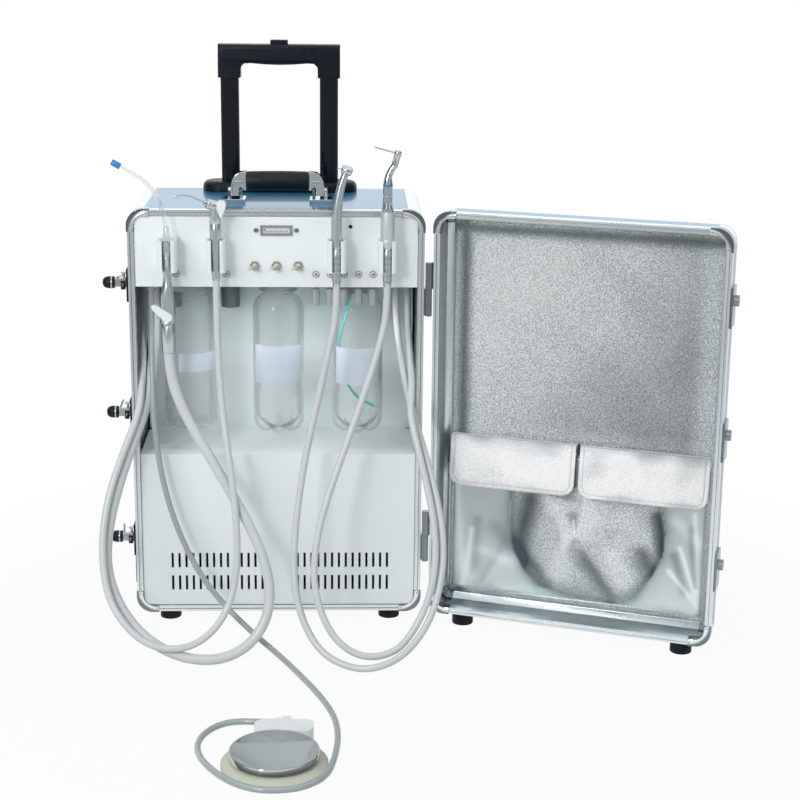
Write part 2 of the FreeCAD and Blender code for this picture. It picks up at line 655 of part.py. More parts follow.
HOLDERS = ("holder_waste", "holder_syringe", "holder_high", "holder_low")
HOLDER_FACE = "(tool_y - holder_mouth + 1.5)"


def holder(x):
    """A block on the panel with a funnelled bore that is open to the front."""
    block = padded(
        [
            (f"{x} - holder_width / 2", HOLDER_FACE), (f"{x} + holder_width / 2", HOLDER_FACE),
            (f"{x} + holder_width / 2", PANEL_FRONT), (f"{x} - holder_width / 2", PANEL_FRONT),
        ],
        "holder_top - holder_bottom",
        role="XY_Plane",
        at=("0", "0", "holder_bottom"),
    )
    doc.recompute()
    face = value(HOLDER_FACE)
    in_front = lambda edge: runs_along(2)(edge) and abs(edge.Vertexes[0].Point.y - face) < TOUCH
    ease_edges(block, "holder_front", in_front)
    bore = rod("holder_bore", "holder_top - holder_bottom + 2", (x, "tool_y", "holder_bottom - 1"))
    funnel = cone("holder_bore", "holder_mouth", "holder_funnel", (x, "tool_y", "holder_top - holder_funnel"))
    mouth = box(
        (f"{x} - holder_slot / 2", f"{x} + holder_slot / 2"),
        (f"{HOLDER_FACE} - 1", "tool_y"),
        ("holder_bottom - 1", "holder_top + 1"),
    )
    return cut(block, bore, funnel, mouth)


node("handpiece_holders", *[holder(x) for x in HOLDERS])

# ---------------------------------------------------------------- tubes that bend


def bent_tube(radius, points, sides=0):
    """A solid along straight runs joined by tangent arcs; sides=0 makes a round section.

    Each arc's radius is 0.45 of its shorter run divided by the tangent of half the turn.
    Returns the solid, its length, its section's area and its arc radii.
    """
    spots = [Vector(*p) for p in points]
    runs = [b - a for a, b in zip(spots, spots[1:])]
    heading = Vector(runs[0]).normalize()
    side = heading.cross(Vector(0.31, 0.17, 0.93)).normalize()
    up = heading.cross(side)
    if sides:
        ring = [spots[0] + side * (radius * math.cos(2 * math.pi * n / sides))
                + up * (radius * math.sin(2 * math.pi * n / sides)) for n in range(sides)]
        section = Part.makePolygon(ring + ring[:1])
    else:
        section = Part.Wire(Part.makeCircle(radius, spots[0], heading))
    area = Part.Face(section).Area
    faces = [Part.Face(section)]
    here = spots[0]
    length = 0
    radii = []
    for n, run in enumerate(runs):
        heading = Vector(run).normalize()
        stop = spots[n + 1]
        if n + 1 < len(runs):
            ahead = Vector(runs[n + 1]).normalize()
            turn = heading.getAngle(ahead)
            back = 0.45 * min(run.Length, runs[n + 1].Length)
            stop = stop - heading * back
        step = stop - here
        faces += section.extrude(step).Faces
        section = section.translated(step)
        length += step.Length
        here = stop
        if n + 1 < len(runs):
            bend = back / math.tan(turn / 2)
            axis = heading.cross(ahead).normalize()
            centre = here + axis.cross(heading) * bend
            faces += section.revolve(centre, axis, math.degrees(turn)).Faces
            section = section.rotated(centre, axis, math.degrees(turn))
            here = spots[n + 1] + ahead * back
            length += bend * turn
            radii.append(bend)
    faces.append(Part.Face(section))
    skin = Part.makeCompound(faces)
    skin.sewShape()
    solid = Part.makeSolid(skin.Shells[0] if skin.Shells else skin)
    if solid.Volume < 0:
        solid.reverse()
    return solid, length, area, radii


def shaped(name, shape):
    """An object that holds a shape made here from the sheet's sizes."""
    made = doc.addObject("Part::Feature", name)
    made.Shape = shape
    return made


# ---------------------------------------------------------------- handpieces


def tool(x, points):
    """A turned grip standing in its holder."""
    return turned(points, at=(x, "tool_y", "0"))


waste = "holder_waste"
VALVE_WAIST = "(valve_low + valve_barrel_length + valve_waist_height)"
VALVE_TOP = "(valve_low + valve_length)"
grip = tool(
    waste,
    [
        ("0", "valve_low"), ("valve_barrel", "valve_low"),
        ("valve_barrel", "valve_low + valve_barrel_length"),
        ("valve_barrel - valve_waist", "valve_low + valve_barrel_length"),
        ("valve_barrel - valve_waist", VALVE_WAIST), ("valve_body", f"{VALVE_WAIST} + valve_cone"),
        ("valve_body", f"{VALVE_WAIST} + valve_cone + valve_straight"),
        ("valve_neck", f"{VALVE_WAIST} + valve_cone + valve_straight + valve_taper"),
        ("valve_neck", f"{VALVE_TOP} - valve_cap - valve_cap_cone"), ("valve_head", f"{VALVE_TOP} - valve_cap"),
        ("valve_head", VALVE_TOP), ("0", VALVE_TOP),
    ],
)
facet = box(
    (f"{waste} - 20", f"{waste} + 20"),
    ("tool_y - 20", "tool_y - valve_facet"),
    (VALVE_WAIST, f"{VALVE_WAIST} + valve_facet_height"),
)
LEVER_HIGH = "(valve_low + valve_lever_high)"
spindle_bore = rod(
    "valve_spindle + running_gap", "valve_facet", (waste, "tool_y - valve_facet - 1", LEVER_HIGH), "y"
)
node("suction_valve", cut(grip, facet, spindle_bore))
LEVER_TIP = "(valve_lever_length + valve_lever_end)"
lever_plate = padded(
    [
        ("-valve_lever_hub * 0.7", "-valve_lever_hub * 0.7"), ("0", "-valve_lever_hub"),
        ("valve_lever_length", "-valve_lever_end"), (LEVER_TIP, "-valve_lever_end / 2"),
        (LEVER_TIP, "valve_lever_end / 2"), ("valve_lever_length", "valve_lever_end"),
        ("0", "valve_lever_hub"), ("-valve_lever_hub * 0.7", "valve_lever_hub * 0.7"), ("-valve_lever_hub", "0"),
    ],
    "valve_lever_thick",
)
lever = fuse(lever_plate, prism(8, "valve_spindle", "valve_facet - 3", ("0", "valve_lever_thick", "0"), "y"))
node(
    "suction_lever",
    aimed(
        [lever], "valve_lever_angle",
        (waste, "tool_y - valve_facet - fit_gap - valve_lever_thick", LEVER_HIGH), (0, 1, 0),
    ),
)

tool_x, tool_y = value(waste), value("tool_y")
top = value(VALVE_TOP)
EJECTOR = [(0, 0), (0, 13), (-3, 34), (-12, 60), (-28, 80), (-52, 95), (-60, 99.5)]
path = [(tool_x + x, tool_y, top + z) for x, z in EJECTOR]
tube, length, area, radii = bent_tube(value("ejector_radius"), path, 8)
print("ejector", round(tube.Volume / (area * length), 4), [round(r) for r in radii])
last = (Vector(*path[-1]) - Vector(*path[-2])).normalize()
tip_start = Vector(*path[-1]) - last * 2
tip = bent_tube(value("ejector_tip"), [tip_start, tip_start + last * value("ejector_tip_length")], 8)[0]
node("saliva_ejector", shaped("ejector", tube.fuse(tip)))

syringe = "holder_syringe"
handle = tool(
    syringe,
    [
        ("0", "syringe_low"), ("syringe_end", "syringe_low"), ("syringe_end", "syringe_low + syringe_cone_low"),
        ("syringe_grip", "syringe_low + syringe_cone_high"), ("syringe_grip", "syringe_low + syringe_length"),
        ("syringe_neck", "syringe_low + syringe_length"), ("syringe_neck", "syringe_head_low + head_sunk"),
        ("0", "syringe_head_low + head_sunk"),
    ],
)
HEAD_X = (f"{syringe} - syringe_neck", f"{syringe} - syringe_neck + syringe_head_width")
head = box(
    HEAD_X, ("tool_y - syringe_head_depth / 2", "tool_y + syringe_head_depth / 2"),
    ("syringe_head_low", "syringe_head_high"),
)
nut = aimed(
    [prism(12, "nozzle_nut", "nozzle_nut_length", ("0", "0", "0"))], "nut_angle",
    (f"{HEAD_X[0]} + nut_sunk", "tool_y", "nozzle_high"), (0, 1, 0),
)
STEM_Y = [f"(tool_y {side} (push_thick + push_between) / 2)" for side in ("-", "+")]
PUSH_HIGH = "(syringe_head_low + push_rise)"
stem_bores = [
    box(
        (f"{HEAD_X[1]} - push_length + 3", f"{HEAD_X[1]} + 3"),
        (f"{y} - push_stem - fit_gap", f"{y} + push_stem + fit_gap"),
        (f"{PUSH_HIGH} - push_stem - fit_gap", f"{PUSH_HIGH} + push_stem + fit_gap"),
    )
    for y in STEM_Y
]
start = Vector(value(f"{HEAD_X[0]} - nozzle_lead"), tool_y, value("nozzle_high + nozzle_lift"))
NOZZLE = [(0, 0), (-14, 5), (-24, 8.2), (-33, 7), (-44, 4)]
path = [(start.x + x, tool_y, start.z + z) for x, z in NOZZLE]
bent, length, area, radii = bent_tube(value("nozzle_radius"), path, 6)
print("nozzle", round(bent.Volume / (area * length), 4), [round(r) for r in radii])
node("syringe_body", cut(fuse(handle, head, nut, shaped("nozzle", bent)), *stem_bores))
PUSH_LEFT = f"({HEAD_X[1]} + push_travel + fit_gap)"
for label, y in zip(("syringe_air_button", "syringe_water_button"), STEM_Y):
    wedge = padded(
        [
            (PUSH_LEFT, "syringe_head_low + 9"), (f"{PUSH_LEFT} + 3", "syringe_head_low + 6"),
            (f"{PUSH_LEFT} + push_length - 1", "syringe_head_high - 4"),
            (f"{PUSH_LEFT} + push_length - 2", "syringe_head_high + 2"), (PUSH_LEFT, "syringe_head_high + 2"),
        ],
        "push_thick",
        at=("0", f"{y} - push_thick / 2", "0"),
    )
    stem = box(
        (f"{PUSH_LEFT} - push_length + 7", f"{PUSH_LEFT} + 2"), (f"{y} - push_stem", f"{y} + push_stem"),
        (f"{PUSH_HIGH} - push_stem", f"{PUSH_HIGH} + push_stem"),
    )
    node(label, fuse(wedge, stem))


def coupling():
    """The hose end that both driven handpieces screw on."""
    return [
        ("0", "coupling_low"), ("relief_radius", "coupling_low"),
        ("relief_radius", "coupling_low + relief_length"), ("coupling_radius", "coupling_low + relief_length"),
        ("coupling_radius", "coupling_high"),
    ]


high = "holder_high"
lower = tool(
    high,
    coupling() + [
        ("grip_thick", "coupling_high + grip_start"), ("grip_thick", "coupling_high + grip_length"),
        ("grip_thick - grip_step", "coupling_high + grip_length + grip_end"),
        ("0", "coupling_high + grip_length + grip_end"),
    ],
)
neck = aimed(
    [cone("grip_thick - 0.1", "drum_neck", "neck_length", ("0", "0", "0"))], "neck_angle",
    (high, "tool_y", "coupling_high + grip_length - 1"), (0, 1, 0),
)
DRUM = (f"{high} + drum_x", "tool_y", "drum_high")
drum = aimed([rod("drum_radius", "drum_length", ("0", "0", "-drum_length / 2"))], "bur_angle", DRUM, (0, 1, 0))
chuck = rod("bur_radius + running_gap", "drum_length / 2 + 1", ("0", "0", "0"))
chuck = aimed([chuck], "bur_angle", DRUM, (0, 1, 0))
node("high_speed_handpiece", cut(fuse(lower, neck, drum), chuck))
bur = prism(8, "bur_radius", "drum_length / 2 + bur_length - 1", ("0", "0", "1"))
node("high_speed_bur", aimed([bur], "bur_angle", DRUM, (0, 1, 0)))

low = "holder_low"
lower = tool(
    low,
    coupling() + [
        ("motor_grip", "coupling_high + motor_cone"), ("motor_grip", "motor_top"),
        ("angle_radius", "motor_top + motor_shoulder"), ("angle_radius", "angle_top"), ("0", "angle_top"),
    ],
)
HEAD_AT = (f"{low} + angle_head_x", "tool_y", "angle_head_high")
neck = aimed(
    [cone("angle_radius - 0.4", "angle_neck", "angle_neck_length", ("0", "0", "0"))], "angle_tilt",
    (low, "tool_y", "angle_top - angle_neck_sunk"), (0, 1, 0),
)
head = aimed(
    [rod("angle_head", "angle_head_length", ("0", "0", "0"))], "bur_angle + 90", HEAD_AT, (0, 1, 0)
)
BUR_AT = (
    f"{low} + angle_head_x + low_bur_high * {round(math.sin(math.radians(value('bur_angle + 90'))), 4)}",
    "tool_y",
    f"angle_head_high + low_bur_high * {round(math.cos(math.radians(value('bur_angle + 90'))), 4)}",
)
chuck = aimed([rod("low_bur_radius + running_gap", "10", ("0", "0", "-1"))], "bur_angle", BUR_AT, (0, 1, 0))
node("low_speed_motor", cut(fuse(lower, neck, head), chuck))
bur = prism(8, "low_bur_radius", "angle_head + low_bur_length", ("0", "0", "0"))
node("low_speed_bur", aimed([bur], "bur_angle", BUR_AT, (0, 1, 0)))

# ---------------------------------------------------------------- bay: jar, bottles, ports and fittings

JAR_TOP = "(panel_low - 5)"
JAR_X = "(jar_side - case_width / 2)"
WATER_X = "(case_width / 2 - water_side)"
jar = turned(
    [
        ("0", "jar_low"), ("jar_radius", "jar_low"), ("jar_radius", f"{JAR_TOP} - 14"),
        ("jar_neck", f"{JAR_TOP} - 14"), ("jar_neck", JAR_TOP), ("jar_neck - glass", JAR_TOP),
        ("jar_neck - glass", f"{JAR_TOP} - 14 - glass"), ("jar_radius - glass", f"{JAR_TOP} - 14 - glass"),
        ("jar_radius - glass", "jar_low + glass"), ("0", "jar_low + glass"),
    ],
    at=(JAR_X, "bottle_y", "0"),
)
node("waste_jar", jar)

CAP_LOW = "(panel_low - cap_height - 2)"
NECK_TOP = f"({CAP_LOW} + cap_height - 2)"


def bottle(x):
    """A drink-bottle shape: a straight body, a shoulder and a narrow neck, one wall thick."""
    return turned(
        [
            ("0", "bottle_low"), ("bottle_radius - 8", "bottle_low"), ("bottle_radius", "bottle_low + 12"),
            ("bottle_radius", f"{CAP_LOW} - 26"), ("bottle_neck", f"{CAP_LOW} - 2"),
            ("bottle_neck", NECK_TOP), ("bottle_neck - glass", NECK_TOP),
            ("bottle_neck - glass", f"{CAP_LOW} - 3"), ("bottle_radius - glass", f"{CAP_LOW} - 27"),
            ("bottle_radius - glass", "bottle_low + 12"), ("bottle_radius - 9", "bottle_low + glass"),
            ("0", "bottle_low + glass"),
        ],
        at=(x, "bottle_y", "0"),
    )


node("air_bottle", bottle("air_x"))
node("water_bottle", bottle(WATER_X))


def bottle_cap(x):
    body = rod("cap_radius", "cap_height + 2", (x, "bottle_y", CAP_LOW))
    bore = rod("bottle_neck + fit_gap", "cap_height - 2 + fit_gap + 1", (x, "bottle_y", f"{CAP_LOW} - 1"))
    return cut(body, bore)


jar_cap = fuse(
    rod("jar_radius", "5 - fit_gap", (JAR_X, "bottle_y", f"{JAR_TOP} + fit_gap")),
    rod("jar_neck - glass - fit_gap", "9", (JAR_X, "bottle_y", f"{JAR_TOP} - 8")),
)
water, middle = value(WATER_X), value("bottle_y")
cap_inside = value(f"{CAP_LOW} + cap_height - 2 + fit_gap")
PICKUP = [(-7.8, 0), (-9, -16), (-17, -48), (-27.5, -92), (-20, -136), (-2, -166), (25, -180)]
path = [(water + x, middle, cap_inside + z) for x, z in PICKUP]
tube, length, area, radii = bent_tube(value("pickup_radius"), path, 6)
print("pickup tube", round(tube.Volume / (area * length), 4), [round(r) for r in radii])
node("bottle_caps", bottle_cap("air_x"), bottle_cap(WATER_X), jar_cap, shaped("pickup", tube))

fittings = []
for n in range(5):
    x = f"(adjuster_first + {n} * adjuster_pitch)"
    stem_at = (x, "fitting_y", "panel_low - fitting_neck_length - 1")
    stem = prism(8, "fitting_neck", "fitting_neck_length + 1", stem_at)
    sleeve = prism(
        8, "fitting_radius", "fitting_length - fitting_neck_length", (x, "fitting_y", "panel_low - fitting_length")
    )
    fittings.append(fuse(stem, sleeve))
ports = [
    rod("port_radius", "port_length", (x, "port_y", "panel_low - port_length"))
    for x in (f"{JAR_X} - port_left", f"{JAR_X} + port_right")
]

# ---------------------------------------------------------------- hoses

# each hose: its radius, the x of its grommet, and its route
HOSES = {
    "suction_hose": ("waste_hose", "(waste_grommet - case_width / 2)", [
        (-145, -22, 406), (-145, -22, 376), (-129, -31, 328), (-90, -47, 264), (-45, -69, 192), (-20, -85, 142),
        (-8, -99, 96), (-12, -112, 58), (-31, -124, 28), (-60, -135, 11), (-94, -143, 8), (-132, -141, 14),
        (-170, -131, 31), (-200, -116, 57), (-221, -101, 91), (-231, -87, 129), (-228, -70, 175), (-216, -51, 224),
        (-199, -27, 274), (-180, 2, 322), (-173, 26, 372), (-171, 46, 415), (-171, 60, 450), (-171, 60, 483),
    ]),
    "syringe_hose": ("tool_hose", "(syringe_grommet - case_width / 2)", [
        (-80, -22, 505), (-80, -22, 462), (-79, -27, 410), (-75, -38, 343), (-66, -57, 278), (-56, -77, 210),
        (-52, -91, 145), (-57, -102, 96), (-70, -116, 61), (-92, -132, 38), (-120, -145, 27), (-151, -149, 28),
        (-180, -145, 38), (-207, -134, 62), (-226, -118, 92), (-234, -101, 133), (-234, -84, 177), (-225, -65, 225),
        (-207, -42, 275), (-188, -15, 321), (-185, 12, 364), (-187, 46, 402), (-186, 78, 440), (-186, 78, 483),
    ]),
    "high_speed_hose": ("tool_hose", "(case_width / 2 - high_grommet)", [
        (81, -22, 497), (81, -22, 456), (71, -30, 414), (59, -39, 358), (45, -51, 299), (33, -66, 236),
        (25, -82, 173), (23, -97, 118), (29, -110, 75), (42, -125, 42), (63, -142, 17), (93, -158, 6),
        (123, -170, 6), (156, -168, 15), (185, -153, 33), (209, -135, 66), (222, -117, 106), (227, -100, 150),
        (222, -82, 195), (211, -62, 240), (197, -39, 286), (182, -11, 331), (173, 17, 372), (167, 42, 410),
        (163, 60, 448), (163, 60, 483),
    ]),
    "low_speed_hose": ("tool_hose", "(case_width / 2 - low_grommet)", [
        (149, -22, 497), (149, -22, 460), (139, -30, 418), (125, -39, 372), (106, -51, 319), (86, -66, 264),
        (67, -82, 213), (54, -98, 164), (50, -113, 119), (56, -126, 84), (69, -138, 54), (87, -147, 32),
        (112, -152, 18), (140, -153, 17), (168, -149, 28), (192, -136, 59), (209, -124, 98), (216, -108, 143),
        (213, -90, 189), (203, -70, 237), (191, -51, 283), (181, -32, 323), (185, -11, 354), (183, 30, 394),
        (180, 70, 438), (180, 70, 483),
    ]),
    "pedal_hose": ("pedal_hose", "(pedal_grommet - case_width / 2)", [
        (-172, 24, 483), (-172, 24, 440), (-172, 12, 395), (-170, -4, 345), (-169, -14, 312), (-165, -19, 273),
        (-158, -24, 225), (-144, -31, 173), (-124, -40, 125), (-98, -52, 83), (-66, -66, 49), (-29, -88, 21),
        (7, -125, 5), (40, -199, 5), (64, -257, 4.1), (80, -313, 4.1), (84, -367, 4.1), (80, -420, 4.1),
        (71, -469, 4.1), (45, -497, 4.1), (15, -505, 4.1), (-14, -502, 4.1), (-42, -484, 4.1), (-68, -450, 4.1),
        (-85, -413, 4.1), (-88, -380, 5), (-78, -352, 6), (-60, -333, 7), (-38, -329, 8), (-14, -334, 9),
        (8, -334, 9),
    ]),
}
grommets = []
for label, (radius, grommet_x, points) in HOSES.items():
    tube, length, area, radii = bent_tube(value(radius), points, 6)
    share = tube.Volume / (area * length)
    widths = round(min(radii) / value(f"2 * {radius}"), 1)
    print(label, f"length {length:.0f} share {share:.4f} least radius {widths} diameters")
    node(label, shaped(label + "_tube", tube))
    _, y, z = points[0] if label == "pedal_hose" else points[-1]
    grommets.append(prism(8, f"{radius} + grommet_wall", f"panel_low - {z}", (grommet_x, str(y), str(z))))
node("bay_fittings", *fittings, *ports, *grommets)

# ---------------------------------------------------------------- door hinges, latches and catches

HINGES = ("hinge_low", "hinge_high")
BARREL = "(hinge_length / 2 - fit_gap / 2)"


def hinge_half(at, z, side):
    """A leaf and its barrel, on the case's side (-) or the door's side (+) of the hinge line."""
    x, y = at
    leaf_x = (f"{x} - hinge_offset", f"{x} - hinge_offset + hinge_plate")
    curl_x = (leaf_x[0], x)
    if side == "+":
        leaf_x = (f"{x} + hinge_offset - hinge_plate", f"{x} + hinge_offset")
        curl_x = (x, leaf_x[1])
    height = (z, f"{z} + {BARREL}")
    leaf = box(leaf_x, (f"{y} + hinge_radius - hinge_plate", f"{y} + hinge_leaf"), height)
    curl = box(curl_x, (f"{y} + hinge_radius - hinge_plate", f"{y} + hinge_radius"), height)
    return fuse(leaf, curl, rod("hinge_radius", BARREL, (x, y, z)))


case_halves = []
door_halves = []
for z in HINGES:
    at = ("case_width / 2 + hinge_offset", "0")
    pin_length = f"hinge_length - hinge_cap - fit_gap - {BARREL} / 2"
    pin = rod("hinge_pin", pin_length, (*at, f"{z} + {BARREL} / 2"))
    case_halves.append(fuse(hinge_half(at, z, "-"), pin))
    upper = f"{z} + hinge_length - {BARREL}"
    bore = rod("hinge_pin + running_gap", f"{BARREL} - hinge_cap + 1", ("0", "0", f"{upper} - 1"))
    door_halves.append(cut(hinge_half(("0", "0"), upper, "+"), bore))
node("case_hinges", *case_halves)

LATCH_X = "(-case_width / 2)"
PIN_X = f"({LATCH_X} - latch_plate - latch_stand / 2)"
bases = []
for number, step in enumerate(("latch_spacing", "0", "(-latch_spacing)"), start=1):
    middle = f"(latch_middle + {step})"
    arm_low = f"({middle} + latch_rise - latch_arm / 2)"
    plate = box(
        (f"{LATCH_X} - latch_plate", LATCH_X),
        ("latch_y - latch_plate_width / 4", "latch_y + latch_plate_width * 3 / 4"),
        (f"{middle} - latch_plate_height / 2", f"{middle} + latch_plate_height / 2"),
    )
    ears = [
        box(
            (f"{PIN_X} - latch_stand / 2", f"{LATCH_X} - latch_plate"),
            ("latch_y - latch_stand / 2", "latch_y + latch_stand / 2"),
            (low_z, f"{low_z} + 2"),
        )
        for low_z in (f"{arm_low} - fit_gap - 2", f"{arm_low} + latch_arm + fit_gap")
    ]
    pin = rod("latch_pin", "latch_arm + 4", (PIN_X, "latch_y", f"{arm_low} - 2"))
    bases.append(fuse(plate, *ears, pin))
    knob_start = "(latch_reach - latch_stand / 2)"
    arm = box(
        (f"-{knob_start}", "0"), ("-latch_arm_thick / 2", "latch_arm_thick / 2"), ("0", "latch_arm"),
    )
    eye = rod("latch_arm_thick / 2", "latch_arm", ("0", "0", "0"))
    knob = prism(12, "knob_radius", "knob_length", (f"-{knob_start} - knob_length", "0", "latch_arm / 2"), "x")
    bore = rod("latch_pin + running_gap", "latch_arm + 2", ("0", "0", "-1"))
    lever = cut(fuse(arm, eye, knob), bore)
    node(f"latch_lever_{number}", put(group(lever), PIN_X, "latch_y", arm_low))
node("latch_bases", *bases)

catches = []
FAR = DOOR_X[1]
for step in ("latch_spacing", "0", "(-latch_spacing)"):
    middle = f"(latch_middle + {step})"
    plate = box(
        (FAR, f"{FAR} + latch_plate"),
        ("latch_y - 4", "latch_y - 4 + catch_width"),
        (f"{middle} - catch_height / 2", f"{middle} + catch_height / 2"),
    )
    stud_at = (f"{FAR} + latch_plate", "latch_y + catch_boss_in", f"{middle} + latch_rise")
    stud = rod("catch_boss", "catch_boss_height", stud_at, "x")
    catches.append(fuse(plate, stud))
node("door_hardware", *door_halves, *catches, frame="door")

# ---------------------------------------------------------------- carrying handle

PIVOT = f"({TOP} + pivot_rise)"
brackets = []
ends = []
for side, turn in (("-", -1), ("", 1)):
    span = lambda a, b: (f"{side}({b})", f"{side}({a})") if turn < 0 else (f"({a})", f"({b})")
    pad = box(
        span("bracket_in", "bracket_out"),
        ("carry_y - bracket_depth / 2", "carry_y + bracket_depth / 2"), (TOP, f"{TOP} + pad_thick"),
    )
    ears = []
    for a, b in (
        ("end_in - fit_gap - ear", "end_in - fit_gap"), ("end_out + fit_gap", "end_out + fit_gap + ear"),
    ):
        web = box(span(a, b), ("carry_y - lug_radius", "carry_y + lug_radius"), (TOP, PIVOT))
        ears.append(fuse(web, rod("lug_radius", "ear", (span(a, b)[0], "carry_y", PIVOT), "x")))
    axle = span("end_in - fit_gap - ear", "end_out + fit_gap + ear")
    pin = rod("carry_pin", "end_out - end_in + 2 * fit_gap + 2 * ear", (axle[0], "carry_y", PIVOT), "x")
    brackets.append(fuse(pad, *ears, pin))
    riser = box(
        span("end_in", "end_out"), ("carry_y - lug_radius", "carry_y + lug_radius"),
        (f"{PIVOT} - lug_radius + 0.5", f"{PIVOT} + grip_rise"),
    )
    block = box(
        span("grip_half", "end_out"),
        ("carry_y - end_depth / 2", "carry_y + end_depth / 2"),
        (f"{PIVOT} + lug_radius + fit_gap + 1", f"{PIVOT} + grip_rise + grip_radius - 4"),
    )
    bore_at = (span("end_in - 2", "end_out + 2")[0], "carry_y", PIVOT)
    bore = rod("carry_pin + running_gap", "end_out - end_in + 4", bore_at, "x")
    ends.append(cut(fuse(riser, block), bore))
grip = rod("grip_radius", "2 * grip_half", ("-grip_half", "carry_y", f"{PIVOT} + grip_rise"), "x")
node("carry_brackets", *brackets)
node("carry_handle", fuse(grip, *ends))

# ---------------------------------------------------------------- telescopic handle

BEZEL_Y = (f"({TROLLEY_Y} - bezel_depth / 2)", f"({TROLLEY_Y} + bezel_depth / 2)")
GRIP_LOW = "(grip_top - grip_height)"
bezel = padded(
    [
        ("-bezel_width / 2", BEZEL_Y[0]), ("bezel_width / 2", BEZEL_Y[0]),
        ("bezel_width / 2", BEZEL_Y[1]), ("-bezel_width / 2", BEZEL_Y[1]),
    ],
    "bezel_height",
    role="XY_Plane",
    at=("0", "0", TOP),
)
ease_edges(bezel, "bezel_depth / 2 - 1", runs_along(2))
TUBE_X = "(tube_width / 2 + fit_gap)"
TUBE_Y = "(tube_depth / 2 + fit_gap)"
guides = []
for at in TUBES:
    sleeve = slot_box(at, f"({GUIDE_X} - fit_gap)", f"({GUIDE_Y} - fit_gap)", ("guide_low", TOP))
    guides.append(cut(sleeve, slot_box(at, TUBE_X, TUBE_Y, ("guide_low - 1", f"{TOP} + 1"))))
bezel_holes = [slot_box(at, TUBE_X, TUBE_Y, (f"{TOP} - 1", f"{TOP} + bezel_height + 1")) for at in TUBES]
node("trolley_bezel", cut(bezel, *bezel_holes), *guides)


def tube_bar(at):
    body = padded(
        [
            (f"{at} - tube_width / 2", f"{TROLLEY_Y} - tube_depth / 2"),
            (f"{at} + tube_width / 2", f"{TROLLEY_Y} - tube_depth / 2"),
            (f"{at} + tube_width / 2", f"{TROLLEY_Y} + tube_depth / 2"),
            (f"{at} - tube_width / 2", f"{TROLLEY_Y} + tube_depth / 2"),
        ],
        f"{GRIP_LOW} - tube_low",
        role="XY_Plane",
        at=("0", "0", "tube_low"),
    )
    ease_edges(body, "tube_depth / 3", runs_along(2))
    return body


node("trolley_tubes", *[tube_bar(at) for at in TUBES])
bar = block_body(
    ("-grip_width / 2", "grip_width / 2"),
    (f"{TROLLEY_Y} - grip_depth / 2", f"{TROLLEY_Y} + grip_depth / 2"), ("grip_top - grip_bar", "grip_top"),
)
ease_edges(bar, "grip_bar / 4", lambda edge: runs_along(0)(edge) or runs_along(2)(edge))
SOCKET_Z = (GRIP_LOW, "grip_top - grip_bar / 2")
sockets = [slot_box(at, "socket_width / 2", "socket_depth / 2", SOCKET_Z) for at in TUBES]
BUTTON_X = ("-button_width / 2", "button_width / 2")
BUTTON_Y = (f"{TROLLEY_Y} - button_depth / 2", f"{TROLLEY_Y} + button_depth / 2")
well = box(
    (f"{BUTTON_X[0]} - fit_gap", f"{BUTTON_X[1]} + fit_gap"),
    (f"{BUTTON_Y[0]} - fit_gap", f"{BUTTON_Y[1]} + fit_gap"),
    ("grip_top - button_well", "grip_top + 1"),
)
node("trolley_grip", cut(fuse(bar, *sockets), well))
node(
    "trolley_button",
    box(BUTTON_X, BUTTON_Y, ("grip_top - button_well + button_travel + fit_gap", "grip_top + button_proud")),
)

# ---------------------------------------------------------------- rear wheels and power inlet

AXLE_Y = "(case_depth + wheel_radius + wheel_clear)"
AXLE_Z = "(wheel_radius + wheel_gap)"
housings = []
rollers = []
for side in ("-", ""):
    middle = f"({side} wheel_spread)"
    half = "(wheel_width / 2 + fit_gap)"
    plate = box(
        (f"{middle} - {half} - cheek", f"{middle} + {half} + cheek"),
        ("case_depth", "case_depth + housing_plate"), (FLOOR, f"{FLOOR} + housing_height"),
    )
    cheeks = []
    for a in (f"{middle} - {half} - cheek", f"{middle} + {half}"):
        side_plate = padded(
            [
                ("case_depth", FLOOR), (f"{AXLE_Y} - cheek_half", f"{AXLE_Z} - cheek_half"),
                (f"{AXLE_Y} + cheek_half", f"{AXLE_Z} - cheek_half"),
                (f"{AXLE_Y} + cheek_half", f"{AXLE_Z} + cheek_high"),
                ("case_depth + cheek_top", f"{FLOOR} + housing_height"),
                ("case_depth", f"{FLOOR} + housing_height"),
            ],
            "cheek",
            role="YZ_Plane",
            at=(a, "0", "0"),
        )
        cheeks.append(side_plate)
    axle = rod("axle_radius", f"2 * {half} + 2 * cheek", (f"{middle} - {half} - cheek", AXLE_Y, AXLE_Z), "x")
    housings.append(fuse(plate, *cheeks, axle))
    tyre = rod("wheel_radius", "wheel_width", (f"{middle} - wheel_width / 2", AXLE_Y, AXLE_Z), "x")
    bore_at = (f"{middle} - wheel_width / 2 - 1", AXLE_Y, AXLE_Z)
    bore = rod("axle_radius + running_gap", "wheel_width + 2", bore_at, "x")
    rollers.append(cut(tyre, bore))
node("wheel_housings", *housings)
node("rear_wheels", *rollers)

inlet_plate = box((f"{LATCH_X} - inlet_proud", LATCH_X), INLET_Y, INLET_Z)
inlet_core = box(
    (LATCH_X, f"{LATCH_X} + inlet_body"),
    (f"{INLET_Y[0]} + inlet_inset", f"{INLET_Y[1]} - inlet_inset"),
    (f"{INLET_Z[0]} + inlet_inset", f"{INLET_Z[1]} - inlet_inset"),
)
inlet_socket = box(
    (f"{LATCH_X} - inlet_proud - 1", f"{LATCH_X} - inlet_proud + inlet_well"),
    (f"{INLET_Y[0]} + inlet_inset + 2", f"{INLET_Y[1]} - inlet_inset - 2"),
    (f"{INLET_Z[0]} + inlet_inset + 2", f"inlet_high + 2"),
)
node("power_inlet", cut(fuse(inlet_plate, inlet_core), inlet_socket))

# ---------------------------------------------------------------- door lining, pocket and flaps

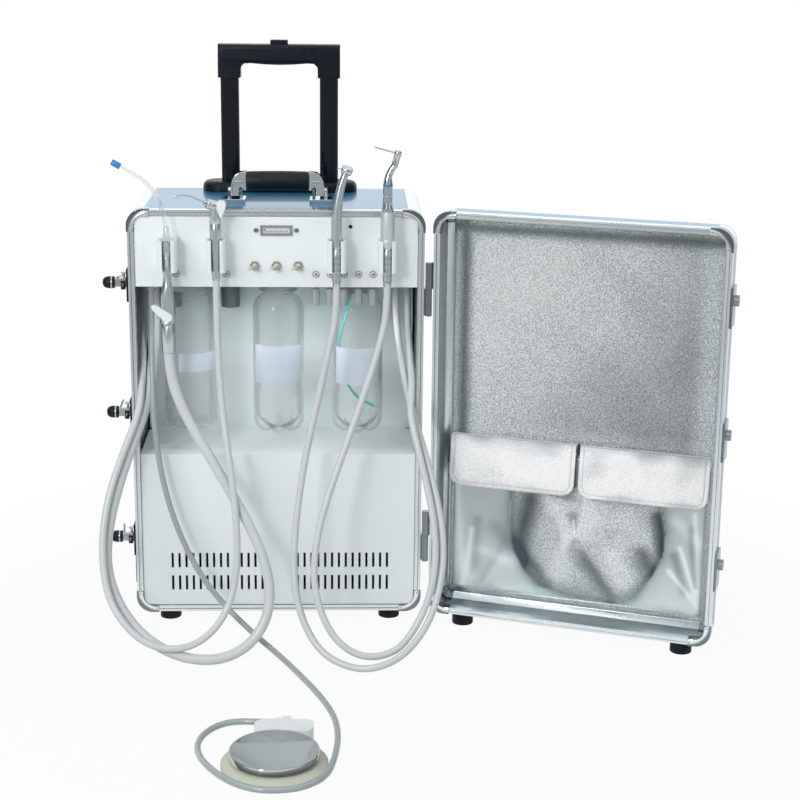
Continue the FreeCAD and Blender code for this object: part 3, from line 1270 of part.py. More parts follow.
LINING_Y = "(door_depth - wall)"
LINING_EDGE = "(wall + inner_ease + fit_gap)"
lining = block_body(
    (f"{DOOR_X[0]} + {LINING_EDGE}", f"{DOOR_X[1]} - {LINING_EDGE}"),
    (f"{LINING_Y} - lining", LINING_Y),
    (f"foot_height + {LINING_EDGE}", f"{TOP} - {LINING_EDGE}"),
)
POCKET_X = (f"({DOOR_X[0]} + wall + pocket_side)", f"({DOOR_X[1]} - wall - pocket_side)")
SEAT_Y = f"({LINING_Y} - lining)"


def bag(inset, back):
    """The pocket's bulging side view, padded across the door; inset makes its inside."""
    front = f"{SEAT_Y} - pocket_bulge + {inset}"
    lip = f"{SEAT_Y} - pocket_mouth + {inset}"
    return padded(
        [
            (back, f"pocket_low + {inset}"), (f"{front} + 6", f"pocket_low + {inset}"),
            (front, "pocket_low + pocket_belly_low"), (front, "pocket_low + pocket_belly_high"),
            (lip, "pocket_high"), (back, "pocket_high"),
        ],
        f"{POCKET_X[1]} - {POCKET_X[0]} - 2 * {inset}",
        role="YZ_Plane",
        at=(f"{POCKET_X[0]} + {inset}", "0", "0"),
    )


mouth = box(
    (f"{POCKET_X[0]} + pocket_wall", f"{POCKET_X[1]} - pocket_wall"),
    (f"{SEAT_Y} - pocket_mouth + pocket_wall", f"{SEAT_Y} + 1"), ("pocket_high - 1", "pocket_high + 1"),
)
node("door_pocket", cut(bag("0", SEAT_Y), bag("pocket_wall", f"{SEAT_Y} + 1"), mouth), frame="door")
SLOPE = "((pocket_bulge - pocket_mouth) / (pocket_high - pocket_low - pocket_belly_high))"
FLAP_TILT = f"(-atan({SLOPE}))"
FLAP_HINGE_Y = f"({SEAT_Y} - pocket_mouth + flap_rise * {SLOPE} - (flap_thick / 2 + fit_gap) / cos({FLAP_TILT}))"
FLAP_HINGE_Z = "(pocket_high + flap_rise)"
half_width = f"(({POCKET_X[1]} - {POCKET_X[0]} - flap_between) / 2)"
for label, left in (
    ("pocket_flap_left", POCKET_X[0]), ("pocket_flap_right", f"({POCKET_X[0]} + {half_width} + flap_between)"),
):
    flap = block_body(("0", half_width), ("-flap_thick / 2", "flap_thick / 2"), ("-flap_drop", "0"))
    doc.recompute()
    low_z = value("-flap_drop")
    at_foot = lambda edge: runs_along(1)(edge) and abs(edge.Vertexes[0].Point.z - low_z) < TOUCH
    ease_edges(flap, "flap_corner", at_foot)
    fold = rod("flap_thick / 2", half_width, ("0", "0", "0"), "x")
    node(label, aimed([fuse(flap, fold)], FLAP_TILT, (left, FLAP_HINGE_Y, FLAP_HINGE_Z), (1, 0, 0)), frame="door")

hem = box(
    POCKET_X, (f"{FLAP_HINGE_Y} + flap_thick / 2 + fit_gap", SEAT_Y),
    (f"{FLAP_HINGE_Z} - hem_height / 2", f"{FLAP_HINGE_Z} + hem_height / 2"),
)
node("door_lining", fuse(lining, hem), frame="door")

# ---------------------------------------------------------------- foot pedal

PEDAL = ("pedal_x", "pedal_y")
DISC_LOW = "(disc_high - disc_band)"
base = turned(
    [
        ("0", "0"), ("pedal_base", "0"), ("pedal_base", "base_edge"),
        ("pedal_base_top", "pedal_base_height"), ("pedal_stem + running_gap", "pedal_base_height"),
        ("pedal_stem + running_gap", "base_floor"), ("0", "base_floor"),
    ],
    at=(*PEDAL, "0"),
)
VALVE_X = ("valve_x - valve_width / 2", "valve_x + valve_width / 2")
VALVE_FRONT = "(pedal_y + disc_radius + valve_gap)"
VALVE_BACK = f"({VALVE_FRONT} + valve_depth)"
valve = box(VALVE_X, (VALVE_FRONT, VALVE_BACK), ("0", "valve_high"))
valve = rounded(valve, "valve_corner", (0, 0, 1))
gland_x, gland_y, gland_z = HOSES["pedal_hose"][2][-1]
gland = fuse(
    rod("gland_radius", "6", (str(gland_x), str(gland_y), str(gland_z)), "x"),
    box(
        (f"{gland_x} + 6", f"{gland_x} + 6 + 2 * gland_radius"),
        (VALVE_BACK, f"{gland_y} + gland_radius"),
        (f"{gland_z} - gland_radius", f"{gland_z} + gland_radius"),
    ),
)
node("pedal_base", fuse(base, valve, gland))
DISH_LOW = "(disc_high - disc_dish)"
STEM_LOW = "(base_floor + pedal_travel + fit_gap)"
disc = turned(
    [
        ("0", DISH_LOW), ("disc_radius * dish_share", DISH_LOW), ("disc_radius - disc_lip", "disc_high"),
        ("disc_radius", "disc_high"), ("disc_radius", DISC_LOW), ("disc_radius - disc_wall", DISC_LOW),
        ("disc_radius - disc_wall", f"{DISH_LOW} - disc_wall"), ("pedal_stem", f"{DISH_LOW} - disc_wall"),
        ("pedal_stem", STEM_LOW), ("0", STEM_LOW),
    ],
    at=(*PEDAL, "0"),
)
node("pedal_disc", disc)

# ---------------------------------------------------------------- check and export

doc.recompute()
problems = [f"{o.Name} {o.Label} {o.State}" for o in doc.Objects if {"Invalid", "Error"} & set(o.State)]
for made in NODES:
    if made.Shape.isNull() or not made.Shape.isValid() or not made.Shape.Solids:
        problems.append(f"{made.Label}: bad shape")
    elif any(solid.Volume <= 0 for solid in made.Shape.Solids):
        problems.append(f"{made.Label}: empty or inside-out solid")
if problems:
    raise SystemExit("\n".join(problems))
os.makedirs("parts", exist_ok=True)
for made in NODES:
    made.Shape.exportStep(f"parts/{made.Label}.step")
whole = Part.makeCompound([made.Shape for made in NODES]).BoundBox
print("box", [round(v, 2) for v in (whole.XMin, whole.XMax, whole.YMin, whole.YMax, whole.ZMin, whole.ZMax)])
print(len(NODES), "sub-parts,", sum(len(made.Shape.Solids) for made in NODES), "solids")
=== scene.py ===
# %% [markdown]
# # A portable dental unit
# The object is a wheeled aluminium-framed case that opens into a small dental workstation.
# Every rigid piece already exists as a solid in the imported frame, at its real size. This
# lesson dresses those solids: it softens their edges, gives each its finish, and builds
# what a solid can't show, such as hoses, clear bottles, foil, film, stitches and rivets.

# %% Load the frame
import json
import math

import bmesh
import bpy
from mathutils import Matrix, Vector, noise

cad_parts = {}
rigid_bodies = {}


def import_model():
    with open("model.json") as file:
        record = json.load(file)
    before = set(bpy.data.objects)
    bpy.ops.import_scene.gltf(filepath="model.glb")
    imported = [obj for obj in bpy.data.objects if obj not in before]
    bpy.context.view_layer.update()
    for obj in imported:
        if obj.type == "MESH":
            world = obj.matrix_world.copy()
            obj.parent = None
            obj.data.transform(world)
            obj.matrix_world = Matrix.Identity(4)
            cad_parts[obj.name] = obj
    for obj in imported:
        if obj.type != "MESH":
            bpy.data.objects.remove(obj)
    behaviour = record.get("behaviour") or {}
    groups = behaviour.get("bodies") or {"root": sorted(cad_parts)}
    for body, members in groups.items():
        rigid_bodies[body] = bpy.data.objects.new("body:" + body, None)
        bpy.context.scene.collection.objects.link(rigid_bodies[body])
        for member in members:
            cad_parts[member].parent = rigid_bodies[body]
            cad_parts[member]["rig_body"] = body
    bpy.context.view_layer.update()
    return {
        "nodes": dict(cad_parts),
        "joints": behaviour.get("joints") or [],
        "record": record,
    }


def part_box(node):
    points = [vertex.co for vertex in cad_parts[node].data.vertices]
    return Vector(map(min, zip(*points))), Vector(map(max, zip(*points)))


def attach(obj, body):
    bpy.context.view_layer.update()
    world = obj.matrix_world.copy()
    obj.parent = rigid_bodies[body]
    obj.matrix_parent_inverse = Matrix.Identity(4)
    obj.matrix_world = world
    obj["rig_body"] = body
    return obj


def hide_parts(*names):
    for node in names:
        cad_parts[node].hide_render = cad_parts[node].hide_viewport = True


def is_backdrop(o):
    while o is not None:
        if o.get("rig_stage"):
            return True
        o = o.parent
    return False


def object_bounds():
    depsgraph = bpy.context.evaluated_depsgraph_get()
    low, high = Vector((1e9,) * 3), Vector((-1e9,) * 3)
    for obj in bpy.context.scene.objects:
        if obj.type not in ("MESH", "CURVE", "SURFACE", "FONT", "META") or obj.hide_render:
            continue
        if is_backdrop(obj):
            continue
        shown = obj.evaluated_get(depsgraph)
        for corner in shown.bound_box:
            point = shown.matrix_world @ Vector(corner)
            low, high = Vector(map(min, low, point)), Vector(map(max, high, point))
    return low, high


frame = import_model()
nodes = frame["nodes"]
scene = bpy.context.scene
MM = 0.001

# %% [markdown]
# The case and the door each have a natural frame of their own. Points in the case's frame
# start on the floor under the middle of its front rim. Points in the door's frame start
# on the floor under the hinge line, with X along the door. Two short functions turn
# millimetres in those frames into metres in the scene.

# %% Places in the case and in the door
BARS_LOW, BARS_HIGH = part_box("case_extrusions")
CASE_MIDDLE = (BARS_LOW.x + BARS_HIGH.x) / 2
CASE_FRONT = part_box("case_corners")[0].y
joints = {joint["name"]: joint for joint in frame["joints"]}
HINGE_LINE = Vector(joints["door_hinge"]["pos_m"]) * Vector((1, 1, 0))
DOOR_OPEN = math.radians(-20)
DOOR = Matrix.Translation(HINGE_LINE) @ Matrix.Rotation(DOOR_OPEN, 4, "Z")


def in_case(x, y, z):
    """A point in the case's frame, in mm, as a point of the scene."""
    return Vector((CASE_MIDDLE + x * MM, CASE_FRONT + y * MM, z * MM))


def in_door(x, y, z):
    """A point in the door's frame, in mm, as a point of the scene."""
    return DOOR @ Vector((x * MM, y * MM, z * MM))


SHELL_LOW, SHELL_HIGH = 22, 596  # the shells' foot and top, in mm
DOOR_NEAR, DOOR_FAR, DOOR_DEPTH = 6, 406, 60
to_door = DOOR.inverted()
SLOTS = {part["node"]: part["material_slot"] for part in frame["record"]["subparts"]}
print("case front at", round(CASE_FRONT, 4), "hinge at", [round(v, 4) for v in HINGE_LINE])

# %% [markdown]
# ## The camera
# The unit is seen from a little above, from 2.4 m away, with a long lens. The camera's turn
# is worked out from its yaw, pitch and roll, so its three axes are built as vectors.

# %% Camera
CAMERA_PLACE = in_case(80.5, -2375.5, 980.4)
YAW, PITCH, ROLL = 0.0371, 0.2658, 0.0107
SENSOR = 36
FOCAL_SHARE = 2.2318  # focal length over picture width

ahead = Vector((math.sin(YAW) * math.cos(PITCH), math.cos(YAW) * math.cos(PITCH), -math.sin(PITCH)))
right = Vector((math.cos(YAW), -math.sin(YAW), 0))
up = right.cross(ahead)
across = right * math.cos(ROLL) + up * math.sin(ROLL)
upright = up * math.cos(ROLL) - right * math.sin(ROLL)
camera = bpy.data.objects.new("camera", bpy.data.cameras.new("camera"))
scene.collection.objects.link(camera)
camera.data.sensor_width = SENSOR
camera.data.lens = SENSOR * FOCAL_SHARE
turn = Matrix((across, upright, -ahead)).transposed().to_4x4()
camera.matrix_world = Matrix.Translation(CAMERA_PLACE) @ turn
scene.camera = camera
scene.view_settings.view_transform = "Standard"
print("lens", round(camera.data.lens, 1), "mm")

# %% [markdown]
# ## Shader maths
# A finish is mostly arithmetic on coordinates. Writing that arithmetic as Python
# expressions keeps it readable: `Number` wraps a socket, and each operator adds a Math node.
# `Nodes` holds a tree and makes every other node with one method, `add`. A material, the
# room and a Geometry Nodes recipe all build on it.

# %% Numbers and node trees
class Number:
    """A node's output that does arithmetic: each operator adds one Math node."""

    def __init__(self, nodes, socket):
        self.nodes, self.socket = nodes, socket

    def math(self, operation, *others):
        return self.nodes.maths(operation, self, *others)

    def __add__(self, other):
        return self.math("ADD", other)

    def __sub__(self, other):
        return self.math("SUBTRACT", other)

    def __rsub__(self, other):
        return self.nodes.maths("SUBTRACT", other, self)

    def __mul__(self, other):
        return self.math("MULTIPLY", other)

    __radd__ = __add__
    __rmul__ = __mul__


class Nodes:
    """One node tree, with the few kinds of node that this lesson needs."""

    def __init__(self, tree):
        self.tree = tree

    def fill(self, socket, value):
        """Links an output to a socket, or writes a plain value into it."""
        if isinstance(value, Number):
            value = value.socket
        if isinstance(value, bpy.types.NodeSocket):
            self.tree.links.new(value, socket)
        else:
            socket.default_value = (*value, 1.0) if socket.type == "RGBA" else value

    def add(self, kind, settings=None, inputs=None, output=0):
        made = self.tree.nodes.new(kind)
        for name, value in (settings or {}).items():
            setattr(made, name, value)
        for name, value in (inputs or {}).items():
            self.fill(made.inputs[name], value)
        return Number(self, made.outputs[output])

    def maths(self, operation, *values):
        return self.add("ShaderNodeMath", {"operation": operation}, dict(enumerate(values)))

    def place(self, centre=(0, 0, 0), turn=0.0, scale=(1, 1, 1)):
        """Object coordinates, moved to a centre and turned about Z."""
        here = self.add("ShaderNodeTexCoord", output="Object")
        inputs = {0: here, "Location": centre, "Rotation": (0, 0, turn), "Scale": scale}
        return self.add("ShaderNodeMapping", {"vector_type": "TEXTURE"}, inputs)

    def axes(self, where):
        return [self.add("ShaderNodeSeparateXYZ", None, {0: where}, output) for output in "XYZ"]

    def noise(self, scale, detail=2, where=None):
        inputs = {"Vector": where or self.place(), "Scale": scale, "Detail": detail}
        return self.add("ShaderNodeTexNoise", {"noise_dimensions": "3D"}, inputs)

    def cells(self, scale):
        inputs = {"Vector": self.place(), "Scale": scale}
        return self.add("ShaderNodeTexVoronoi", {"feature": "F1"}, inputs)

    def carried(self, name):
        """A number that the mesh itself carries at each of its points."""
        return self.add("ShaderNodeAttribute", {"attribute_name": name}, output="Fac")

    def between(self, value, low, high):
        """0 below low, 1 above high, and smooth between them."""
        inputs = {"Value": value, "From Min": low, "From Max": high}
        return self.add("ShaderNodeMapRange", {"interpolation_type": "SMOOTHSTEP"}, inputs)

    def mix(self, mask, first, second):
        return self.add("ShaderNodeMix", {"data_type": "RGBA"}, {0: mask, 6: first, 7: second}, output=2)

    def rays(self):
        """1 for what the camera sees, also through clear plastic, and 1 for what mirrors see."""
        kinds = ("Camera", "Transmission", "Glossy")
        camera, plastic, glossy = (self.add("ShaderNodeLightPath", output=f"Is {kind} Ray") for kind in kinds)
        return camera.math("MAXIMUM", plastic), glossy


class Finish(Nodes):
    """A material round one Principled shader."""

    def __init__(self, name, color, roughness, metallic=0.0, **sockets):
        self.material = bpy.data.materials.new(name)
        self.material.use_nodes = True
        super().__init__(self.material.node_tree)
        self.shader = self.tree.nodes["Principled BSDF"]
        self.roughness = roughness
        self.set(Base_Color=color, Roughness=roughness, Metallic=metallic, **sockets)

    def set(self, **sockets):
        for name, value in sockets.items():
            self.fill(self.shader.inputs[name.replace("_", " ")], value)
        return self

    def bump(self, height, distance, strength=1.0):
        inputs = {"Height": height, "Distance": distance, "Strength": strength}
        return self.set(Normal=self.add("ShaderNodeBump", None, inputs))

    def uneven(self, reach, scale, detail=2, where=None):
        """Roughness that wanders up from the finish's own, as noise does."""
        return self.set(Roughness=self.roughness + self.noise(scale, detail, where) * reach)

    def grain(self, scale, distance, reach):
        """An even surface grain: a fine bump, and roughness that comes in patches."""
        self.bump(self.noise(scale, 3), distance)
        wander = self.between(self.noise(scale / 12), 0.35, 0.65)
        return self.set(Roughness=self.roughness + wander * reach)


# %% [markdown]
# ## Finishes of the case
# The panels are a blue laminate under a clear coat: seen at a flat angle they mirror the
# pale room and look steel-blue, and where they mirror something dark they turn a strong
# blue. The frame bars are extruded aluminium with ridges that run along each bar, painted
# into their colour as bands of highlight and shade.

# %% Laminate, bars, corners
laminate = Finish("blue_laminate", (0.03, 0.24, 0.46), 0.3, 0.25, Coat_Weight=0.55, Coat_Roughness=0.06)
streaks = laminate.noise(60, 3, laminate.place(scale=(1, 30, 1)))
laminate.set(Base_Color=laminate.mix(streaks, (0.025, 0.22, 0.43), (0.05, 0.29, 0.52)))


def from_rim(finish, centre, turn):
    """Distance in from the rounded outline of an upright frame, a little more further back."""
    x, y, z = finish.axes(finish.place(centre, turn))
    over = x.math("ABSOLUTE") - (BAR_HALF_WIDTH - RIM_RADIUS)
    above = (z - BAR_MIDDLE).math("ABSOLUTE") - (BAR_HALF_HEIGHT - RIM_RADIUS)
    reach = [part.math("MAXIMUM", 0) for part in (over, above)]
    out = reach[0] * reach[0] + reach[1] * reach[1]
    straight = over.math("MAXIMUM", above).math("MINIMUM", 0)
    return RIM_RADIUS - out.math("SQRT") - straight + y * 0.4


def ribbed_bar(name, centre, turn):
    """Satin aluminium whose ridges, which run round the frame, are painted highlight and shade."""
    finish = Finish(name, (0.7, 0.72, 0.74), 0.24, 1.0)
    ridge = (from_rim(finish, centre, turn) * (2 * math.pi / RIB_PITCH)).math("SINE")
    # Painted highlight and shade: the ridges are only in the colour, light along their tops and dark in the
    # lines between them, and behind the front rim the whole bar takes the dark colour.
    groove = finish.between(ridge, -0.98, -0.5)
    depth = finish.axes(finish.place(centre, turn))[1]
    groove = groove.math("MAXIMUM", finish.between(depth, 0.002, 0.003))
    finish.set(Base_Color=finish.mix(groove, (0.26, 0.31, 0.33), (0.78, 0.83, 0.85)))
    return finish.uneven(0.08, 40)


def corner_chrome(name, centre, turn):
    """Chromed corner: a painted highlight along its middle, and painted shade where it rolls over at both
    edges.
    """
    finish = Finish(name, (0.8, 0.82, 0.84), 0.1, 1.0)
    inset = from_rim(finish, centre, turn)
    crown_and_painted_highlight = finish.between(inset, 0.0005, 0.004) * (1 - finish.between(inset, 0.006, 0.0095))
    # Painted reflection: bright along the middle band, dark at both edges; the same band also bumps the
    # surface.
    finish.set(Base_Color=finish.mix(crown_and_painted_highlight, (0.20, 0.24, 0.26), (0.86, 0.88, 0.90)))
    finish.bump(crown_and_painted_highlight, 0.0012)
    return finish.uneven(0.08, 90)


BAR_HALF_HEIGHT = (BARS_HIGH.z - BARS_LOW.z) / 2
BAR_MIDDLE = (BARS_HIGH.z + BARS_LOW.z) / 2
BAR_HALF_WIDTH = (BARS_HIGH.x - BARS_LOW.x) / 2
RIM_RADIUS = 0.03
RIB_PITCH = 0.0056
case_middle, door_middle = tuple(in_case(0, 0, 0)), tuple(in_door((DOOR_NEAR + DOOR_FAR) / 2, 0, 0))
case_bar, door_bar = ribbed_bar("case_bar", case_middle, 0), ribbed_bar("door_bar", door_middle, DOOR_OPEN)
case_corner = corner_chrome("case_corner", case_middle, 0)
door_corner = corner_chrome("door_corner", door_middle, DOOR_OPEN)

chrome = Finish("chrome", (0.60, 0.66, 0.68), 0.05, 1.0, Specular_Tint=(0.3, 0.35, 0.38)).uneven(0.06, 120, 3)
steel = Finish("satin_steel", (0.50, 0.53, 0.55), 0.2, 1.0).uneven(0.1, 90)
rubber = Finish("black_rubber", (0.004, 0.005, 0.007), 0.5, Specular_IOR_Level=0.25).grain(1800, 0.00012, 0.2)
print("bar half width", round(BAR_HALF_WIDTH, 4))

# %% [markdown]
# ## Finishes of the cabinet and the instruments
# The cabinet is sheet metal under white powder paint, which has a faint orange peel. The
# instruments are satin metal with chromed heads. Clear plastic is made with alpha that
# rises towards the silhouette, because thin walls look denser where they turn away.

# %% Paint, plastic, metal and rubber
paint = Finish("white_paint", (0.84, 0.89, 0.90), 0.36, Coat_Weight=0.1).grain(700, 0.00003, 0.14)
white = Finish("white_plastic", (0.80, 0.83, 0.83), 0.28, Coat_Weight=0.15).grain(900, 0.00002, 0.12)
cream = Finish("cream_plastic", (0.56, 0.57, 0.47), 0.35).grain(900, 0.00003, 0.15)
ivory = Finish("ivory_plastic", (0.68, 0.64, 0.50), 0.25).grain(900, 0.00002, 0.15)
black = Finish("black_plastic", (0.003, 0.007, 0.013), 0.3, Specular_IOR_Level=0.24)
black.grain(1500, 0.00006, 0.15)
gloss_black = Finish("black_tube", (0.001, 0.004, 0.009), 0.1, Specular_IOR_Level=0.3, Coat_Weight=0.1)
gloss_black.grain(1500, 0.000005, 0.1)
iron = Finish("painted_iron", (0.03, 0.033, 0.036), 0.45, 0.2).grain(500, 0.0002, 0.15)
satin = Finish("bright_satin", (0.61, 0.68, 0.70), 0.24, 1.0, Specular_Tint=(0.25, 0.30, 0.33))
satin.uneven(0.05, 150)
frosted = Finish("frosted_metal", (0.62, 0.70, 0.71), 0.46, 0.7).uneven(0.1, 200)
brass = Finish("brass", (0.55, 0.36, 0.12), 0.2, 1.0).grain(1500, 0.00001, 0.15)
port_grey = Finish("port_grey", (0.10, 0.12, 0.13), 0.35).grain(900, 0.00006, 0.15)
cap_grey = Finish("cap_grey", (0.36, 0.41, 0.42), 0.35).grain(900, 0.00003, 0.15)
tip_blue = Finish("tip_blue", (0.01, 0.22, 0.62), 0.25).grain(1200, 0.00003, 0.15)
pickup_teal = Finish("pickup_teal", (0.08, 0.50, 0.50), 0.2, Coat_Weight=0.3).grain(1200, 0.00001, 0.1)
pedal_rubber = Finish("pedal_hose_grey", (0.33, 0.38, 0.39), 0.2, Coat_Weight=0.6, Coat_Roughness=0.1)
hose_rubber = Finish("hose_silicone", (0.60, 0.63, 0.63), 0.26, Coat_Weight=0.2, Coat_Roughness=0.2)
for finish in (pedal_rubber, hose_rubber):
    finish.uneven(0.08, 300, 3)


def clear(name, color, thin, thick):
    """Clear plastic wall: mostly see-through face on, denser where it turns away."""
    coat = {"Coat_Weight": 1.0, "Coat_IOR": 2.2, "Coat_Roughness": 0.02}
    finish = Finish(name, color, 0.05, Transmission_Weight=1.0, IOR=1.3, **coat)
    facing = finish.add("ShaderNodeLayerWeight", None, {"Blend": 0.4}, output="Facing")
    return finish.set(Alpha=thin + facing.math("POWER", 2.0) * (thick - thin))


clear_bottle = clear("clear_bottle", (0.98, 1.0, 1.0), 0.07, 0.95)
clear_tube = clear("clear_tube", (0.85, 0.86, 0.85), 0.6, 0.95)
label_paper = Finish("label_paper", (0.58, 0.65, 0.73), 0.45).grain(900, 0.00003, 0.15)
mirror = Finish("polished_disc", (0.54, 0.55, 0.55), 0.02, 1.0)
mirror.uneven(0.04, 60, 3, mirror.place(scale=(1, 20, 1)))

# %% [markdown]
# ## Foil and film
# The door is lined with embossed silver foil over thin foam. The emboss is a random pebble
# about a millimetre across, so single pebbles catch the light and the whole face glitters.
# Each pebble differs a little in brightness and in slope. Broad light and dark, which a
# rumpled foil gets from the room, is painted light and shade that the mesh carries.

# %% Foil
def embossed(name, dark, bright, depth, share):
    """Silver foil coloured by the painted light and shade that the mesh carries; its pebbles differ from that
    at random, by a share.
    """
    finish = Finish(name, bright, 0.3, 1.0)
    fleck = finish.between(finish.noise(760, 2), 0.36, 0.66)
    finish.bump(fleck, depth)
    painted_light_and_grain = finish.carried("painted_light_and_grain") * (1 - share + fleck * 2 * share)
    finish.set(Base_Color=finish.mix(painted_light_and_grain, dark, bright))
    return finish.uneven(0.12, 25)


foil = embossed("silver_foil", (0.07, 0.10, 0.115), (0.97, 1.0, 1.0), 0.0004, 0.5)
flap_foil = embossed("flap_foil", (0.26, 0.30, 0.32), (1.0, 1.0, 1.0), 0.0002, 0.24)
flap_foil.set(Metallic=0.35 + flap_foil.noise(12, 1) * 0.1)
flat_foil = embossed("flat_foil", (0.16, 0.20, 0.22), (0.90, 0.97, 0.97), 0.00002, 0.06)
side_foil = Finish("side_foil", (0.66, 0.73, 0.74), 0.24, 1.0).uneven(0.14, 14)
film = clear("pocket_film", (0.93, 0.97, 0.98), 0.07, 0.5)
film_edge = clear("film_edge", (0.84, 0.90, 0.90), 0.35, 0.9)
thread = Finish("thread", (0.42, 0.44, 0.45), 0.6).grain(3000, 0.0001, 0.2)
print(len(bpy.data.materials), "finishes")

# %% [markdown]
# ## One builder for meshes
# Most small pieces are turned on a lathe or swept along a line. `Shape` collects such parts
# in one mesh, each with the number of its finish, and hands out a smooth-shaded mesh whose
# creases stay crisp.

# %% Shape builder
class Shape:
    """One mesh in the making."""

    def __init__(self):
        self.bm = bmesh.new()

    def ring(self, spots):
        return [self.bm.verts.new(spot) for spot in spots]

    def skin(self, rings, finish=0, loop=False, capped=False):
        """Joins rings of equal length with quads; a ring of one vertex is a pole."""
        count = max(len(ring) for ring in rings)
        pairs = list(zip(rings, rings[1:])) + ([(rings[-1], rings[0])] if loop else [])
        for low, high in pairs:
            for n in range(count):
                corners = [low[n % len(low)], low[(n + 1) % len(low)]]
                corners += [high[(n + 1) % len(high)], high[n % len(high)]]
                corners = list(dict.fromkeys(corners))
                if len(corners) > 2:
                    self.bm.faces.new(corners).material_index = finish
        for ring in (rings[0], rings[-1]) if capped else ():
            self.bm.faces.new(ring).material_index = finish
        return self

    def turned(self, profile, foot, axis=(0, 0, 1), sides=48, finish=0, flute=0.0):
        """A lathe part from (radius, height) pairs in mm; flute cuts every other side deeper."""
        lay = Vector((0, 0, 1)).rotation_difference(Vector(axis))
        rings = []
        for radius, height in profile:
            count = 1 if radius == 0 else sides
            angles = [2 * math.pi * n / sides for n in range(count)]
            reach = [radius - flute * (n % 2) for n in range(count)]
            spots = [Vector((r * math.cos(a), r * math.sin(a), height)) * MM for r, a in zip(reach, angles)]
            rings.append(self.ring(foot + lay @ spot for spot in spots))
        return self.skin(rings, finish, loop=profile[0][0] > 0 and profile[-1][0] > 0)

    def swept(self, stations, sides=24, finish=0):
        """A closed bar of changing radius through (point, radius in mm) stations."""
        rings = []
        for n, (spot, radius) in enumerate(stations):
            before, after = stations[max(n - 1, 0)][0], stations[min(n + 1, len(stations) - 1)][0]
            heading = (after - before).normalized()
            side = heading.cross(Vector((0, 1, 0))).normalized()
            other = heading.cross(side)
            angles = [2 * math.pi * k / sides for k in range(sides)]
            reach = [side * math.cos(a) + other * math.sin(a) for a in angles]
            rings.append(self.ring(spot + way * radius * MM for way in reach))
        return self.skin(rings, finish, capped=True)

    def plate(self, outline, front, back, finish=0, lay=in_case):
        """A flat piece: an outline of (x, z) pairs in mm, between two depths."""
        rings = [self.ring(lay(x, depth, z) for x, z in outline) for depth in (front, back)]
        return self.skin(rings, finish, capped=True)

    def block(self, low, high, finish=0, lay=in_case):
        """A box between two corners in mm; lay is in_case or in_door."""
        outline = [(low[0], low[2]), (high[0], low[2]), (high[0], high[2]), (low[0], high[2])]
        return self.plate(outline, low[1], high[1], finish, lay)

    def mesh(self, label, crease=35):
        bmesh.ops.recalc_face_normals(self.bm, faces=self.bm.faces)
        made = bpy.data.meshes.new(label)
        self.bm.to_mesh(made)
        self.bm.free()
        made.shade_smooth()
        made.set_sharp_from_angle(angle=math.radians(crease))
        return made


def piece(label, mesh, body, finishes, stands_for=()):
    """Puts a finished mesh in the scene, on its body, in place of the CAD nodes it stands for."""
    made = bpy.data.objects.new(label, mesh)
    scene.collection.objects.link(made)
    for finish in finishes:
        mesh.materials.append(finish.material)
    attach(made, body)
    if stands_for:
        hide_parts(*stands_for)
    return made


def stand_in(label, shape, node, finishes, crease=35):
    """Ends a shape as the piece that stands for one CAD node, on that node's body."""
    return piece(label, shape.mesh(label, crease), nodes[node]["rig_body"], finishes, [node])


def soften(thing, width, segments=2, angle=35):
    """A small bevel on every crease, because no real edge is a knife."""
    bevel = thing.modifiers.new("eased_edges", "BEVEL")
    bevel.width = width * MM
    bevel.segments = segments
    bevel.limit_method = "ANGLE"
    bevel.angle_limit = math.radians(angle)
    bevel.harden_normals = True
    return thing


# %% [markdown]
# ## Dressing the rigid pieces
# A CAD node arrives as loose triangles. A copy of it is merged, its flat faces are joined
# again, and its edges are eased. Where one node holds several finishes, a rule picks the
# finish of each face from where it lies.

# %% Dress a CAD node
def copied(node):
    """A shape that starts as a CAD node's mesh, its loose triangles merged."""
    shape = Shape()
    shape.bm.from_mesh(nodes[node].data)
    bmesh.ops.remove_doubles(shape.bm, verts=shape.bm.verts, dist=2e-6)
    return shape


def dressed(node, finishes, ease=0.3, rule=None, angle=35, segments=2):
    """A merged copy of a CAD node with eased edges, which stands for it."""
    shape = copied(node)
    flat = math.radians(0.05)
    bmesh.ops.dissolve_limit(shape.bm, angle_limit=flat, verts=shape.bm.verts, edges=shape.bm.edges)
    for face in shape.bm.faces:
        face.material_index = rule(face.calc_center_median(), face.normal) if rule else 0
    made = stand_in(node + "_dressed", shape, node, finishes, angle)
    if ease:
        soften(made, ease, segments, angle)
    return made


# %% [markdown]
# The shells of the case and the door are blue outside. The door's inside is lined with foil
# up its walls, so a face of the door shell that lies behind the outer skin gets foil. The
# walls of the case are plain dark grey inside.

# %% Case and door shells
SKIN = 3.6  # a face further in than this lies on the inside, in mm
BAY_FRONT, BAY_BACK, BAY_HALF_WIDTH = 2, 210, 197


def inside_door(centre, normal):
    """1 where a face lies inside the door's tray."""
    spot = to_door @ centre / MM
    sides = (spot.x - DOOR_NEAR, DOOR_FAR - spot.x, spot.z - SHELL_LOW, SHELL_HIGH - spot.z)
    return int(min(*sides, DOOR_DEPTH - spot.y) > SKIN)


def inside_case(centre, normal):
    """1 on the side walls of the bay."""
    across, depth = abs(centre.x - CASE_MIDDLE) / MM, (centre.y - CASE_FRONT) / MM
    return int(across < BAY_HALF_WIDTH and BAY_FRONT < depth < BAY_BACK and abs(normal.x) > 0.9)


wall_grey = Finish("bay_wall", (0.13, 0.155, 0.16), 0.45).grain(700, 0.00005, 0.15)
dressed("case_panels", [laminate, wall_grey], 0.4, inside_case)
dressed("door_panels", [laminate, side_foil], 0.4, inside_door)
dressed("case_extrusions", [case_bar], 0.5)


